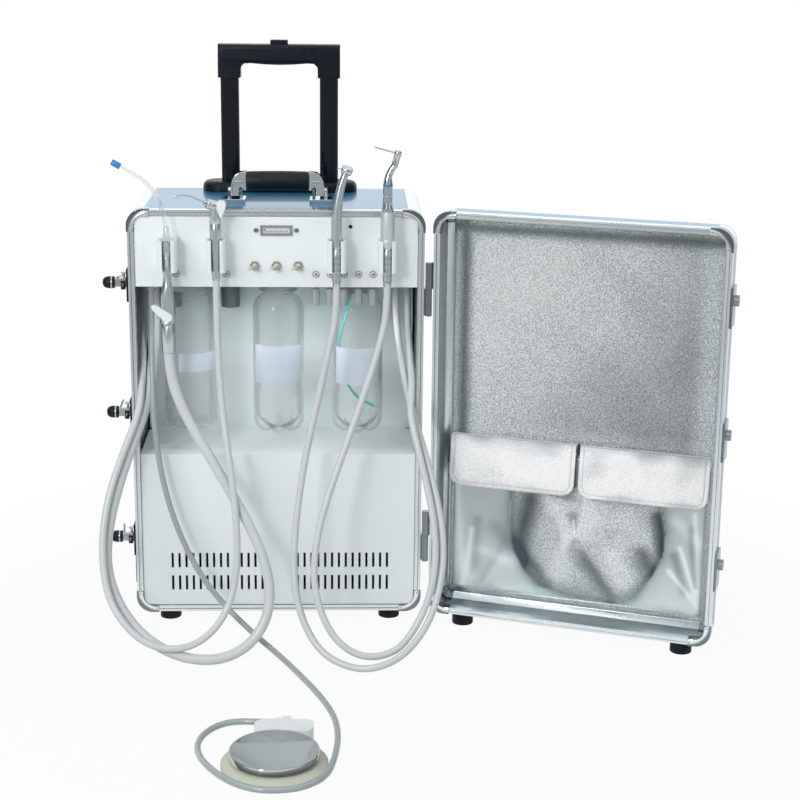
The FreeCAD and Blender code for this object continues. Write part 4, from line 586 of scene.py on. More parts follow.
def inner_face(centre, normal):
    """1 on the sides of the door's bars that look into the door."""
    spot, heading = to_door @ centre / MM, to_door.to_3x3() @ normal
    middle = Vector(((DOOR_NEAR + DOOR_FAR) / 2, 0, (SHELL_LOW + SHELL_HIGH) / 2))
    inward = middle - spot
    return int(max(heading.x * math.copysign(1, inward.x), heading.z * math.copysign(1, inward.z)) > 0.9)


dressed("door_extrusions", [door_bar, side_foil], 0.5, inner_face)
dressed("case_corners", [case_corner], 2.0, segments=3)
dressed("door_corners", [door_corner], 2.0, segments=3)
dressed("case_feet", [rubber], 1.0)
dressed("door_feet", [rubber], 1.0)

# %% [markdown]
# ## Cabinet and controls
# Sheet metal has small bends at its edges, so its bevel is about its thickness. The bay's
# paint darkens with height, because the panel keeps light from the top of the back wall.
# Screws, plug and adjusters are one node, and a rule picks their finishes by place.

# %% Cabinet, gauge, screws and toggles
dressed("control_panel", [paint], 0.7)
dressed("compressor_housing", [paint], 0.5)
shade = Finish("bay_paint", (0.66, 0.76, 0.76), 0.4, Coat_Weight=0.1).grain(700, 0.00003, 0.1)
height = shade.axes(shade.place())[2]
shade.set(Base_Color=shade.mix(shade.between(height, 0.33, 0.5), (0.74, 0.82, 0.81), (0.42, 0.53, 0.54)))
dressed("bay_back_wall", [shade], 0.3)
dressed("compressor", [iron], 1.0)

GAUGE_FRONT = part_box("pressure_gauge")[0].y
gauge_grey = Finish("gauge_grey", (0.42, 0.43, 0.46), 0.26, 0.9).grain(1200, 0.00001, 0.1)
dial_white = Finish("dial_white", (0.66, 0.70, 0.73), 0.25, Coat_Weight=0.6).uneven(0.1, 300)
mark_black = Finish("mark_black", (0.05, 0.05, 0.06), 0.45).grain(1500, 0.00002, 0.15)
mark_red = Finish("mark_red", (0.65, 0.05, 0.04), 0.35).grain(1500, 0.00002, 0.15)


def gauge_face(centre, normal):
    """The sunk window is the dial, and the rest is the bezel."""
    sunk = centre.y - GAUGE_FRONT
    return int(normal.y < -0.9 and 0.5 * MM < sunk < 2.2 * MM)


dressed("pressure_gauge", [gauge_grey, dial_white], 0.5, gauge_face)


def panel_hardware(centre, normal):
    """Adjusters low on the panel are white, the screws beside the gauge are chrome, the plug is black."""
    if centre.z < in_case(0, 0, 530).z:
        return 1
    return 2 if centre.x > in_case(60, 0, 0).x else 0


dressed("panel_screws", [chrome, white, black], 0.2, panel_hardware)


def nut_or_barrel(centre, normal):
    return int(centre.y < in_case(0, -1.2, 0).y)


dressed("toggle_valves", [chrome, ivory], 0.3, nut_or_barrel)
for number in (1, 2, 3):
    dressed(f"toggle_lever_{number}", [ivory], 0.4)

# %% [markdown]
# The dial is a strip of fine ticks with a longer one at every fifth place and a red mark at
# its start. Each tick is a thin block that lies on the dial.

# %% Marks on the dial
DIAL_Y, DIAL_Z = 1.7, 568.5
TICKS, TICK_PITCH = 21, 1.45
dial = Shape()
for n in range(TICKS):
    long = n % 5 == 0
    x = (n - (TICKS - 1) / 2) * TICK_PITCH
    dial.block((x - 0.25, DIAL_Y - 0.06, DIAL_Z - 2.6), (x + 0.25, DIAL_Y, DIAL_Z + (1.4 if long else -0.6)))
dial.block((-16.6, DIAL_Y - 0.08, DIAL_Z - 0.4), (-14.6, DIAL_Y, DIAL_Z + 2.0), finish=1)
piece("dial_marks", dial.mesh("dial_marks"), "case", [mark_black, mark_red])

# %% [markdown]
# The toggles have hexagon nuts, the gauge has two cross-headed screws, and each flow
# adjuster has a black ring with a slotted spindle. All of them face the user.

# %% Nuts, screws and adjusters
FORWARD = (0, -1, 0)
ADJUSTER_Z, TOGGLE_Z, PANEL_DEPTH = 509, 520.4, 3
nuts = Shape()
for x in (-29.2, 0, 29.2):
    place = in_case(x, PANEL_DEPTH, TOGGLE_Z)
    nuts.turned([(3.9, 0), (7, 0), (7, 2.6), (6.4, 3.3), (3.9, 3.3)], place, FORWARD, sides=6)
    nuts.turned([(3.2, 3.2), (5.4, 3.2), (5.4, 3.6), (3.2, 3.6)], place, FORWARD, sides=32, finish=1)
for x in (-27.3, 27.3):
    place = in_case(x, PANEL_DEPTH, DIAL_Z)
    nuts.turned([(0, 0), (3.5, 0), (3.5, 0.7), (2.7, 1.6), (0, 2)], place, FORWARD, sides=32)
    for long, tall in ((2.3, 0.45), (0.45, 2.3)):
        nuts.block((x - long, 0.95, DIAL_Z - tall), (x + long, 1.6, DIAL_Z + tall), finish=1)
piece("toggle_nuts", nuts.mesh("toggle_nuts", 30), "case", [steel, mark_black])
adjusters = Shape()
for x in (-135, -67, 53, 72.3, 91.6, 110.9, 130.2):
    place = in_case(x, 1.9, ADJUSTER_Z)
    adjusters.turned([(3.9, 0), (4.5, 0), (4.5, 0.5), (3.9, 0.5)], place, FORWARD, sides=36)
    adjusters.turned([(0, 0), (2.1, 0), (2.1, 0.8), (1.8, 1), (0, 1)], place, FORWARD, sides=24, finish=1)
    lean = math.radians(40 + x)
    arm = Vector((math.cos(lean), 0, math.sin(lean))) * 1.9 * MM
    spots = [place + Vector((0, -1.05 * MM, 0)) + arm * t for t in (-1, 1)]
    adjusters.swept([(spot, 0.45) for spot in spots], sides=8)
piece("adjuster_rings", adjusters.mesh("adjuster_rings"), "case", [mark_black, steel])

# %% [markdown]
# ## Instruments
# The suction valve, the syringe and the two driven handpieces are satin metal with polished
# heads, and the low-speed motor's sleeve is frosted. The syringe's two triggers are flat
# pieces side by side, cut to one outline.

# %% Holders, levers and triggers
TOOL_Y = -22
SUCTION_X, SYRINGE_X, HIGH_X, LOW_X = -145, -80, 81, 149
dressed("handpiece_holders", [white], 0.8)
dressed("suction_lever", [white], 1.2, segments=3)
for node, front, back in (("syringe_air_button", -7.4, -0.3), ("syringe_water_button", 0.3, 7.4)):
    trigger = Shape().plate(
        [(-77.5, 609.8), (-75, 612), (-69, 612.4), (-66.2, 611.2), (-65, 608.6), (-65.6, 603), (-68.4, 595),
         (-70.6, 590.4), (-72, 589.2), (-73.4, 590.4), (-77.5, 602)], TOOL_Y + front, TOOL_Y + back)
    soften(stand_in(node + "_built", trigger, node, [white], 30), 1.2, 3, 40)
dressed("high_speed_bur", [steel], 0)

# %% [markdown]
# Each instrument is turned or swept from its own profile. `smooth` fills in stations between
# the given ones, so that a handpiece bends and tapers without corners, as a polished tool does.

# %% Instruments
def smooth(stations, steps=6):
    """Stations of (x, z, radius) in mm, joined by an even curve through all of them."""
    ends = [stations[0], *stations, stations[-1]]
    filled = []
    for a, b, c, d in zip(ends, ends[1:], ends[2:], ends[3:]):
        for t in (step / steps for step in range(steps)):
            terms = zip(a, b, c, d)
            filled.append([
                q + 0.5 * t * (r - p + t * (2 * p - 5 * q + 4 * r - s + t * (3 * (q - r) + s - p)))
                for p, q, r, s in terms
            ])
    return [(in_case(x, TOOL_Y, z), radius) for x, z, radius in [*filled, stations[-1]]]


def on_tool(x):
    return in_case(x, TOOL_Y, 0)


valve = Shape().turned(
    [
        (0, 406), (8.4, 406), (9.2, 407.2), (9.2, 442.5), (8.6, 443.8), (7.3, 444.2), (7.3, 446.6),
        (9.4, 447.2), (10.1, 450), (10.2, 455), (10.2, 476), (9.8, 483), (8.7, 490), (7, 497.5), (5.7, 504),
        (5, 511), (4.8, 518), (4.8, 533), (5.4, 533.8), (5.4, 535.6), (5, 536.4), (5.5, 539), (6.4, 543),
        (6.7, 547), (6.7, 555), (7.1, 556.4), (6.9, 557.8), (0, 558),
    ],
    on_tool(SUCTION_X), sides=64,
)
FACET_Y, FACET_LOW, FACET_HIGH = in_case(0, TOOL_Y - 8, 0).y, 0.4475, 0.49
for corner in valve.bm.verts:
    if FACET_LOW < corner.co.z < FACET_HIGH:
        corner.co.y = max(corner.co.y, FACET_Y)
stand_in("suction_valve_turned", valve, "suction_valve", [satin], 50)

ejector = Shape().swept(smooth([(x, z, 2.8) for x, z in (
    (-145, 559), (-145, 571), (-148, 592), (-157, 618), (-173, 638), (-197, 653), (-204, 657))]))
ejector.turned([(0, 558.2), (6.0, 558.4), (6.2, 560), (5.2, 564), (4.2, 571), (3.5, 577), (2.8, 578),
                (0, 578)], on_tool(SUCTION_X), sides=40)
TIP_ALONG = Vector((-0.872, 0, 0.49))
ejector.turned([(0, 0), (3.6, 0), (4.2, 0.8), (4.2, 11.6), (3.7, 12.8), (0, 13)],
               in_case(-203.2, TOOL_Y, 656.4), TIP_ALONG, sides=32, finish=1)
stand_in("saliva_ejector_bent", ejector, "saliva_ejector", [clear_tube, tip_blue])

syringe = Shape().turned(
    [
        (0, 505), (4.2, 505), (4.9, 506), (5.1, 508), (5.1, 528), (5.7, 540), (6.7, 552), (7.3, 562),
        (7.5, 572), (7.5, 580.5), (7.1, 581), (7.1, 582.2), (7.4, 582.6), (7.2, 590), (6.6, 604), (0, 604),
    ],
    on_tool(SYRINGE_X), sides=56,
)
HEAD, HEAD_TURN = in_case(-79, TOOL_Y, 605.5), Vector((-0.90, -0.2, 0.25)).normalized()
syringe.turned([(0, -7), (5.4, -7), (6.6, -6), (7.2, -4), (7.2, 7), (6.8, 7.6), (6.8, 8.4), (7.1, 8.8),
                (7.1, 11), (6.3, 12), (0, 12)], HEAD, HEAD_TURN, sides=44)
syringe.turned([(5.2, 11.9), (6.3, 11.9), (6.3, 13.2), (5.2, 13.2)], HEAD, HEAD_TURN, sides=24, finish=1,
               flute=0.6)
syringe.turned([(0, 11.8), (4.4, 11.8), (4.4, 14), (3.2, 15.4), (2.0, 16.6), (0, 16.6)], HEAD, HEAD_TURN,
               sides=32, finish=1)
syringe.swept(smooth([(-93, 610, 1.5), (-107, 615.8, 1.5), (-118, 619.4, 1.5), (-127, 618.6, 1.5),
                      (-136.8, 616.4, 1.4)]), sides=16, finish=1)
stand_in("syringe_turned", syringe, "syringe_body", [satin, chrome], 40)


def coupling():
    """The ribbed hose end that both driven handpieces screw on, as a lathe profile."""
    profile = [(0, 497), (4.6, 497), (5.2, 498), (5.2, 503.5), (6.2, 504.5)]
    for groove in (511, 519, 527, 535):
        profile += [(6.2, groove), (5.6, groove + 0.5), (5.6, groove + 1.5), (6.2, groove + 2)]
    return profile + [(6.2, 546), (5.5, 547), (5.5, 549), (0, 549)]


BUR_ALONG = Vector((-0.966, 0, 0.259))
high = Shape().turned(coupling(), on_tool(HIGH_X))
high.swept(smooth([
    (81, 548.6, 6.2), (81, 550, 7.2), (81, 556, 7.3), (81, 575, 7.2), (81.1, 590, 7.0), (81.8, 603, 6.7),
    (83.6, 617, 6.2), (86.4, 630, 5.6), (89.6, 641, 5.0), (92.4, 648.5, 4.6),
]), sides=40)
high.turned([(0, -7.6), (3.4, -7.4), (5.3, -6.6), (6.1, -5), (6.1, 2.6), (5.8, 3), (5.8, 3.8), (6, 4.2),
             (5.4, 6), (4.2, 7), (2, 7.4), (1.1, 7.4), (1.1, -1), (0, -1)],
            in_case(94.5, TOOL_Y, 653), BUR_ALONG, sides=40, finish=1)
stand_in("high_speed_turned", high, "high_speed_handpiece", [satin, chrome], 40)

low_tool = Shape().turned(coupling(), on_tool(LOW_X))
low_tool.turned(
    [(0, 548.2), (6.6, 548.4), (8.4, 551.6), (9.4, 555), (9.6, 557), (9.6, 561), (9.3, 561.4), (9.3, 562.2),
     (9.6, 562.6), (9.6, 596.6), (9.2, 598), (0, 598.2)],
    on_tool(LOW_X), finish=1,
)
low_tool.turned(
    [(0, 597.8), (7.6, 598), (7.9, 599.4), (7.3, 604), (6.6, 610), (6.4, 615), (6.4, 619.6), (5.8, 620.2),
     (5.8, 621.2), (6.4, 621.8), (6.4, 632.4), (0, 632.6)],
    on_tool(LOW_X), finish=2,
)
low_tool.turned([(0, 632.4), (6.55, 632.6), (6.55, 635), (0, 635.2)], on_tool(LOW_X), finish=3)
low_tool.swept(smooth([
    (149, 634.8, 6.2), (149, 639, 5.7), (149.4, 644, 5), (151, 649.5, 4.5), (153.6, 654.5, 4.4),
    (156.4, 659, 4.3), (158, 662, 4.3),
]), sides=32, finish=2)
HEAD_ALONG = Vector((0.259, 0, 0.966))
low_tool.turned([(0, -1.4), (3.6, -1), (4.4, 0.4), (4.5, 2), (4.5, 15.4), (4.9, 16), (4.9, 20.4), (4.2, 21.8),
                 (0, 22)], in_case(157, TOOL_Y, 658), HEAD_ALONG, sides=32, finish=2)
low_tool.block((138.9, -23.4, 551), (140.6, -20.6, 558), finish=4)
stand_in("low_speed_turned", low_tool, "low_speed_motor", [satin, frosted, chrome, tip_blue, brass], 40)
dressed("low_speed_bur", [steel], 0)

# %% [markdown]
# ## Hoses
# Each hose is one smooth NURBS line with a round section. It leaves an instrument straight
# down, hangs in a loop in front of the case, and goes back up into a grommet under the
# panel. The points are chosen, and the spline cuts inside their corners.

# %% Hose routes
WASTE_ROUTE = [
    (-145, -22, 406), (-145, -22, 376), (-129, -31, 328), (-90, -47, 264), (-45, -69, 192), (-20, -85, 142),
    (-8, -99, 96), (-12, -112, 58), (-31, -124, 28), (-60, -135, 11), (-94, -143, 8), (-132, -141, 14),
    (-170, -131, 31), (-200, -116, 57), (-221, -101, 91), (-231, -87, 129), (-228, -70, 175), (-216, -51, 224),
    (-199, -27, 274), (-180, 2, 322), (-173, 26, 372), (-171, 46, 415), (-171, 60, 450), (-171, 60, 483),
]
SYRINGE_ROUTE = [
    (-80, -22, 505), (-80, -22, 462), (-79, -27, 410), (-75, -38, 343), (-66, -57, 278), (-56, -77, 210),
    (-52, -91, 145), (-57, -102, 96), (-70, -116, 61), (-92, -132, 38), (-120, -145, 27), (-151, -149, 28),
    (-180, -145, 38), (-207, -134, 62), (-226, -118, 92), (-234, -101, 133), (-234, -84, 177), (-225, -65, 225),
    (-207, -42, 275), (-188, -15, 321), (-185, 12, 364), (-187, 46, 402), (-186, 78, 440), (-186, 78, 483),
]
HIGH_SPEED_ROUTE = [
    (81, -22, 497), (81, -22, 456), (71, -30, 414), (59, -39, 358), (45, -51, 299), (33, -66, 236),
    (25, -82, 173), (23, -97, 118), (29, -110, 75), (42, -125, 42), (63, -142, 17), (93, -158, 6),
    (123, -170, 6), (156, -168, 15), (185, -153, 33), (209, -135, 66), (222, -117, 106), (227, -100, 150),
    (222, -82, 195), (211, -62, 240), (197, -39, 286), (182, -11, 331), (173, 17, 372), (167, 42, 410),
    (163, 60, 448), (163, 60, 483),
]
LOW_SPEED_ROUTE = [
    (149, -22, 497), (149, -22, 460), (139, -30, 418), (125, -39, 372), (106, -51, 319), (86, -66, 264),
    (67, -82, 213), (54, -98, 164), (50, -113, 119), (56, -126, 84), (69, -138, 54), (87, -147, 32),
    (112, -152, 18), (140, -153, 17), (168, -149, 28), (192, -136, 59), (209, -124, 98), (216, -108, 143),
    (213, -90, 189), (203, -70, 237), (191, -51, 283), (181, -32, 323), (185, -11, 354), (183, 30, 394),
    (180, 70, 438), (180, 70, 483),
]
PEDAL_ROUTE = [
    (-172, 24, 483), (-172, 24, 440), (-172, 12, 395), (-170, -4, 345), (-169, -14, 312), (-165, -19, 273),
    (-158, -24, 225), (-144, -31, 173), (-124, -40, 125), (-98, -52, 83), (-66, -66, 49), (-29, -88, 21),
    (7, -125, 5), (40, -199, 5), (64, -257, 4.1), (80, -313, 4.1), (84, -367, 4.1), (80, -420, 4.1),
    (71, -469, 4.1), (45, -497, 4.1), (15, -505, 4.1), (-14, -502, 4.1), (-42, -484, 4.1), (-68, -450, 4.1),
    (-85, -413, 4.1), (-88, -380, 5), (-78, -352, 6), (-60, -333, 7), (-38, -329, 8), (-14, -334, 9),
    (8, -334, 9),
]

# %% [markdown]
# The curve's length is measured on the spline itself, with no bevel, and printed as the
# hose's real length.

def line_length(curve_object):
    """Length of a curve's centre line, in metres."""
    graph = bpy.context.evaluated_depsgraph_get()
    line = bpy.data.meshes.new_from_object(curve_object.evaluated_get(graph))
    spots = [vertex.co for vertex in line.vertices]
    total = sum((b - a).length for a, b in zip(spots, spots[1:]))
    bpy.data.meshes.remove(line)
    return total


def hose(node, route, radius, finish=hose_rubber):
    """A round hose along a smooth line, whose real length is measured and printed."""
    curve = bpy.data.curves.new(node + "_line", "CURVE")
    curve.dimensions = "3D"
    curve.resolution_u = 8
    spline = curve.splines.new("NURBS")
    spline.points.add(len(route) - 1)
    for point, spot in zip(spline.points, route):
        point.co = (*in_case(*spot), 1)
    spline.order_u = 3
    spline.use_endpoint_u = True
    made = bpy.data.objects.new(node + "_line", curve)
    scene.collection.objects.link(made)
    length = line_length(made)
    curve.bevel_depth = radius * MM
    curve.bevel_resolution = 7
    curve.use_fill_caps = True
    curve.materials.append(finish.material)
    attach(made, "case")
    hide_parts(node)
    tuple(in_case(*route[0]))
    print(node, round(length, 3), "m")
    return made


TOOL_RADIUS = 4.75
hose("suction_hose", WASTE_ROUTE, 7)
hose("syringe_hose", SYRINGE_ROUTE, TOOL_RADIUS)
hose("high_speed_hose", HIGH_SPEED_ROUTE, TOOL_RADIUS)
hose("low_speed_hose", LOW_SPEED_ROUTE, TOOL_RADIUS)
hose("pedal_hose", PEDAL_ROUTE, 4, pedal_rubber)

# %% [markdown]
# ## Jar and bottles
# The two bottles are blown clear plastic, with a foot of five lobes as such bottles have.
# Each is a lathe profile with an inner wall, and the lobes are pressed into the foot by
# moving its points along the height with the angle.

# %% Clear bottles
BOTTLE_PROFILE = [
    (0, 3), (9, 2.5), (18, 0), (25, 1.5), (31, 6), (35, 13), (36, 22), (36, 60), (35.4, 62), (35.4, 66),
    (36, 68), (36, 168), (35.5, 176), (34, 183), (30.5, 190), (25, 195), (19, 199), (15, 201), (14, 203),
    (14, 213),
]
BOTTLE_RADIUS, BOTTLE_WALL = 36, 0.7
LOBES, LOBE_DEPTH, LOBE_HEIGHT = 5, 13, 34
JAR_X, AIR_X, WATER_X, BOTTLE_Y = -123.5, 0, 110.3, 60


def bottle(node, middle_x):
    """A clear bottle with a lobed foot, open at its neck under the cap."""
    foot = in_case(middle_x, BOTTLE_Y, 274)
    inner = [(max(radius - BOTTLE_WALL, 0), height + BOTTLE_WALL) for radius, height in BOTTLE_PROFILE[:-1]]
    inner.append((BOTTLE_PROFILE[-1][0] - BOTTLE_WALL, BOTTLE_PROFILE[-1][1]))
    shape = Shape().turned(BOTTLE_PROFILE + inner[::-1], foot, sides=100)
    for corner in shape.bm.verts:
        flat = corner.co - foot
        angle = math.atan2(flat.y, flat.x) + 0.3
        reach = math.hypot(flat.x, flat.y) / (BOTTLE_RADIUS * MM)
        low = max(0.0, 1 - flat.z / (LOBE_HEIGHT * MM))
        valley = (1 - abs(math.cos(LOBES / 2 * angle))) ** 1.6 * low * min(1.0, reach * 1.6)
        corner.co.z += valley * LOBE_DEPTH * MM
        corner.co -= Vector((flat.x, flat.y, 0)) * valley * 0.16
    return stand_in(node + "_blown", shape, node, [clear_bottle], 60)


LABEL_STEPS = 32


def label(name, body, middle_x, radius, low, high, first, last):
    """A blank paper label wrapped round part of a bottle."""
    centre = in_case(middle_x, BOTTLE_Y, 0)
    near, far = radius + 0.15, radius + 0.35
    corners = ((near, low), (near, high), (far, high), (far, low))
    angles = [math.radians(first + (last - first) * n / LABEL_STEPS) for n in range(LABEL_STEPS + 1)]
    shape = Shape()
    rings = []
    for a in angles:
        spots = [Vector((reach * math.sin(a), -reach * math.cos(a), z)) for reach, z in corners]
        rings.append(shape.ring(centre + spot * MM for spot in spots))
    shape.skin(rings, capped=True)
    return piece(name, shape.mesh(name), body, [label_paper])


bottle("air_bottle", AIR_X)
bottle("water_bottle", WATER_X)
label("air_label", "air_bottle", AIR_X, BOTTLE_RADIUS, 348.8, 402.3, -60, 62)
label("water_label", "water_bottle", WATER_X, BOTTLE_RADIUS, 348.2, 399.7, -55, 68)
label("jar_label", "waste_jar", JAR_X, 37, 366.5, 392.1, -20, 75)

jar_profile = [
    (0, 285), (34, 285), (36.4, 286), (37, 289), (37, 296), (36.4, 298), (36.4, 300), (37, 302),
    (37, 466), (36.5, 470), (34.5, 472), (33, 472.5), (33, 486),
]
jar_inner = [(max(radius - 1.5, 0), height + (1.5 if height < 470 else 0)) for radius, height in jar_profile]
jar = Shape().turned(jar_profile + jar_inner[::-1], in_case(JAR_X, BOTTLE_Y, 0), sides=80)
stand_in("waste_jar_blown", jar, "waste_jar", [clear_bottle], 50)


def cap_or_pickup(centre, normal):
    return int(centre.z < in_case(0, 0, 474).z)


dressed("bottle_caps", [cap_grey, pickup_teal], 0.6, cap_or_pickup, angle=50)


def fitting_finish(centre, normal):
    """Dark ports at the back, brass necks in front, and grey sleeves and grommets."""
    if centre.y > in_case(0, 90, 0).y:
        return 0
    front = centre.y < in_case(0, 30, 0).y and centre.x > in_case(40, 0, 0).x
    return 1 if front and centre.z > 485.5 * MM else 2


dressed("bay_fittings", [port_grey, brass, cap_grey], 0.4, fitting_finish)

# %% [markdown]
# ## Hinges, latches and handles
# Latch plates are black, and their arms are steel with a black domed knob. The three arms
# hang at different angles.

# %% Hinges and latches
dark_steel = Finish("dark_plating", (0.26, 0.30, 0.33), 0.16, 1.0).uneven(0.1, 80)
dressed("case_hinges", [dark_steel], 0.3)
dressed("latch_bases", [black, steel], 0.4, lambda centre, normal: int(centre.x < in_case(-203.05, 0, 0).x))
LATCH_Y, KNOB_X = 12, -218.6
for number, height, lean in ((1, 495, 26), (2, 313, 68), (3, 131, 88)):
    latch = Shape().turned(
        [(0, 0), (5.6, 0), (8.0, 1.0), (8.3, 2.2), (8.3, 3.6), (8.5, 3.8), (8.5, 5.4), (8.3, 5.6), (8.3, 9.6),
         (7.7, 12.4), (6.3, 14.8), (4.2, 16.3), (2, 16.9), (0, 17)],
        in_case(KNOB_X, LATCH_Y, height), (-1, 0, 0), sides=40, finish=1,
    )
    for face in latch.bm.faces:
        along = (in_case(KNOB_X, 0, 0).x - face.calc_center_median().x) / MM
        face.material_index = 0 if 3.5 < along < 5.6 else 1  # a steel band round the knob
    latch.block((-219.4, LATCH_Y - 4, height - 5.5), (-209.5, LATCH_Y + 4, height + 5.5))
    latch.block((-210, LATCH_Y - 5, height - 7), (-204.2, LATCH_Y + 5, height + 6.5))
    latch.block((-210.6, LATCH_Y - 5.4, height - 9), (-204.4, LATCH_Y - 4.6, height + 3), finish=1)
    latch.block((-209.2, LATCH_Y - 5.7, height - 5), (-207.2, LATCH_Y - 5.2, height), finish=2)
    swing = math.radians(lean)
    foot = in_case(-217, LATCH_Y, height + 6)
    reach = [foot + Vector((math.cos(swing), 0, math.sin(swing))) * MM * t for t in (0, 1, 12, 13)]
    latch.swept(list(zip(reach, (0.7, 1.3, 1.3, 0.7))), sides=12)
    made = stand_in(f"latch_{number}_built", latch, f"latch_lever_{number}", [steel, black, brass], 40)
    soften(made, 0.5, 2, 50)
dressed("door_hardware", [dark_steel], 0.4)

# %% [markdown]
# The carry handle is a leather grip between two chromed ends. Chrome this small mirrors the
# room in patches, so its colour carries a painted reflection of dark and bright patches.

# %% Carry handle
bracket_chrome = Finish("bracket_chrome", (0.6, 0.66, 0.68), 0.08, 1.0)
# Painted reflection: the brackets' colour turns dark and bright in patches.
painted_reflection_patches = bracket_chrome.between(bracket_chrome.noise(75, 1), 0.42, 0.56)
bracket_chrome.set(Base_Color=bracket_chrome.mix(painted_reflection_patches, (0.20, 0.28, 0.32), (0.88, 0.91, 0.92)))
dressed("carry_brackets", [bracket_chrome], 1.0, segments=3)
CARRY_Y, GRIP_Z = 78, 624.5
leather = Finish("grip_leather", (0.003, 0.006, 0.012), 0.36, Specular_IOR_Level=0.35)
leather.bump(leather.cells(700), 0.00025, 0.6)
leather.uneven(0.14, 120)
handle = Shape()
grip = [(in_case(x, CARRY_Y, GRIP_Z + 0.6 * math.cos(x / 27)), radius) for x, radius in (
    (-43, 10.5), (-42.4, 12), (-40, 12.8), (-20, 13), (0, 13), (20, 13), (40, 12.8), (42.4, 12), (43, 10.5))]
handle.swept(grip, sides=40)
for side in (-1, 1):
    handle.plate([(side * x, z) for x, z in (
        (52.5, 604.5), (63.5, 604.5), (64.6, 610), (64.2, 618), (62.6, 625), (59.4, 631.5), (54.6, 635.8),
        (48, 637.4), (42.6, 637.4), (42.6, 611.8), (46, 611.6), (49.4, 616), (51.8, 616), (52.5, 612))],
        CARRY_Y - 8.5, CARRY_Y + 8.5, finish=1)
    handle.swept([(in_case(side * x, CARRY_Y - 8.6, 624), 1.6) for x in (47, 59)], sides=12, finish=1)
soften(stand_in("carry_handle_built", handle, "carry_handle", [leather, chrome], 40), 2.2, 4, 50)

# %% [markdown]
# The telescopic handle comes up through a domed bezel with round ends. The dome is a stack
# of rings that draw in as they rise. The bezel's node also holds two guide sleeves inside
# the case, which are kept as they are.

# %% Telescopic handle and wheels
TROLLEY_Y = 183
BEZEL_HEIGHT, BEZEL_CORNERS = 14, 64
bezel_low, bezel_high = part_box("trolley_bezel")
bezel_half = (bezel_high.x - bezel_low.x) / 2 / MM
bezel_deep = (bezel_high.y - bezel_low.y) / 2 / MM
bezel_top = bezel_high.z / MM
bezel_foot = bezel_top - BEZEL_HEIGHT
print("bezel", round(bezel_half, 1), round(bezel_deep, 1), round(bezel_foot, 1), round(bezel_top, 1))


def stadium(inset, height):
    """A ring of points round the bezel, in from its outline."""
    end = bezel_deep - inset
    spots = []
    for n in range(BEZEL_CORNERS):
        angle = 2 * math.pi * n / BEZEL_CORNERS
        middle = math.copysign(bezel_half - bezel_deep, math.cos(angle))
        spots.append(in_case(middle + end * math.cos(angle), TROLLEY_Y + end * math.sin(angle), height))
    return spots


bezel = copied("trolley_bezel")
above = [
    face for face in bezel.bm.faces
    if max(corner.co.z for corner in face.verts) > (bezel_foot + 1) * MM
    or (face.normal.z < -0.9 and face.calc_center_median().z > (bezel_foot - 1) * MM)
]
bmesh.ops.delete(bezel.bm, geom=above, context="FACES")
steps = [(9, 0), (0.6, 0), (0, 0.6), (0, BEZEL_HEIGHT * 0.35)]
for angle in (0.25, 0.5, 0.75, 1.0, 1.25, 1.57):
    steps.append((7 * (1 - math.cos(angle)), BEZEL_HEIGHT * (0.35 + 0.65 * math.sin(angle))))
bezel.skin([bezel.ring(stadium(inset, bezel_foot + rise)) for inset, rise in steps], capped=True)
stand_in("trolley_bezel_domed", bezel, "trolley_bezel", [black], 30)
dressed("trolley_tubes", [gloss_black], 0.4)
dressed("trolley_grip", [black], 2.2, segments=4)
under = Shape().plate(
    [(-54.5, 766), (-54.5, 778), (54.5, 778), (54.5, 766), (53.4, 771.4), (49, 775.6), (40, 776.2),
     (20, 774.6), (0, 774), (-20, 774.6), (-40, 776.2), (-49, 775.6), (-53.4, 771.4)],
    TROLLEY_Y - 12.5, TROLLEY_Y + 12.5)
soften(piece("trolley_grip_underside", under.mesh("trolley_grip_underside", 30), "trolley", [black]), 2, 3, 50)
dressed("trolley_button", [black], 0.8)
dressed("wheel_housings", [black], 1.0)
dressed("rear_wheels", [rubber], 1.5, segments=3)
dressed("power_inlet", [black], 0.5)

# %% [markdown]
# ## Foot pedal
# A cream base carries a white valve block and a polished, slightly dished steel disc.

# %% Pedal
def block_or_base(centre, normal):
    return int(centre.y > in_case(0, -375.2, 0).y)


dressed("pedal_base", [cream, white], 2.2, block_or_base, segments=4)
PEDAL_X, PEDAL_Y = 7.5, -432
disc = Shape().turned(
    [(0, 18.0), (14, 18.1), (28, 18.5), (40, 19.1), (48, 19.6), (51.6, 19.9), (53, 20), (53.7, 19.9),
     (54, 19.5), (54, 12.4), (53.6, 12), (52.9, 12), (52.5, 12.4), (52.5, 16.2), (9, 15.2), (9, 5.8),
     (0, 5.8)],
    in_case(PEDAL_X, PEDAL_Y, 0), sides=120,
)
stand_in("pedal_disc_turned", disc, "pedal_disc", [mirror], 25)

# %% [markdown]
# ## Door lining
# The foil is stretched over thin foam, so it is nearly flat in the middle and rolls back
# into the walls at its edges, with a faint waviness. A grid is shaped in code, because a
# stretched sheet has no folds to simulate. Each point also carries the painted light and
# shade that the foil reads.

# %% Lining
LINING_FRONT = 51
LINING_LEFT, LINING_RIGHT, LINING_LOW, LINING_TOP = 20.5, 391.5, 36.5, 581.5


def waves(x, z, size, seed):
    """Smooth, seeded unevenness between about -1 and 1."""
    return noise.noise(Vector((x / size, seed, z / size)))


def with_painted_light(mesh, rule):
    """Stores painted light and shade, from 0, dark, to 1, bright, at each point, from its place on the door."""
    painted_light_and_grain = mesh.attributes.new("painted_light_and_grain", "FLOAT", "POINT")
    for n, corner in enumerate(mesh.vertices):
        spot = to_door @ corner.co / MM
        painted_light_and_grain.data[n].value = min(1.0, max(0.0, rule(spot.x, spot.z)))
    return mesh


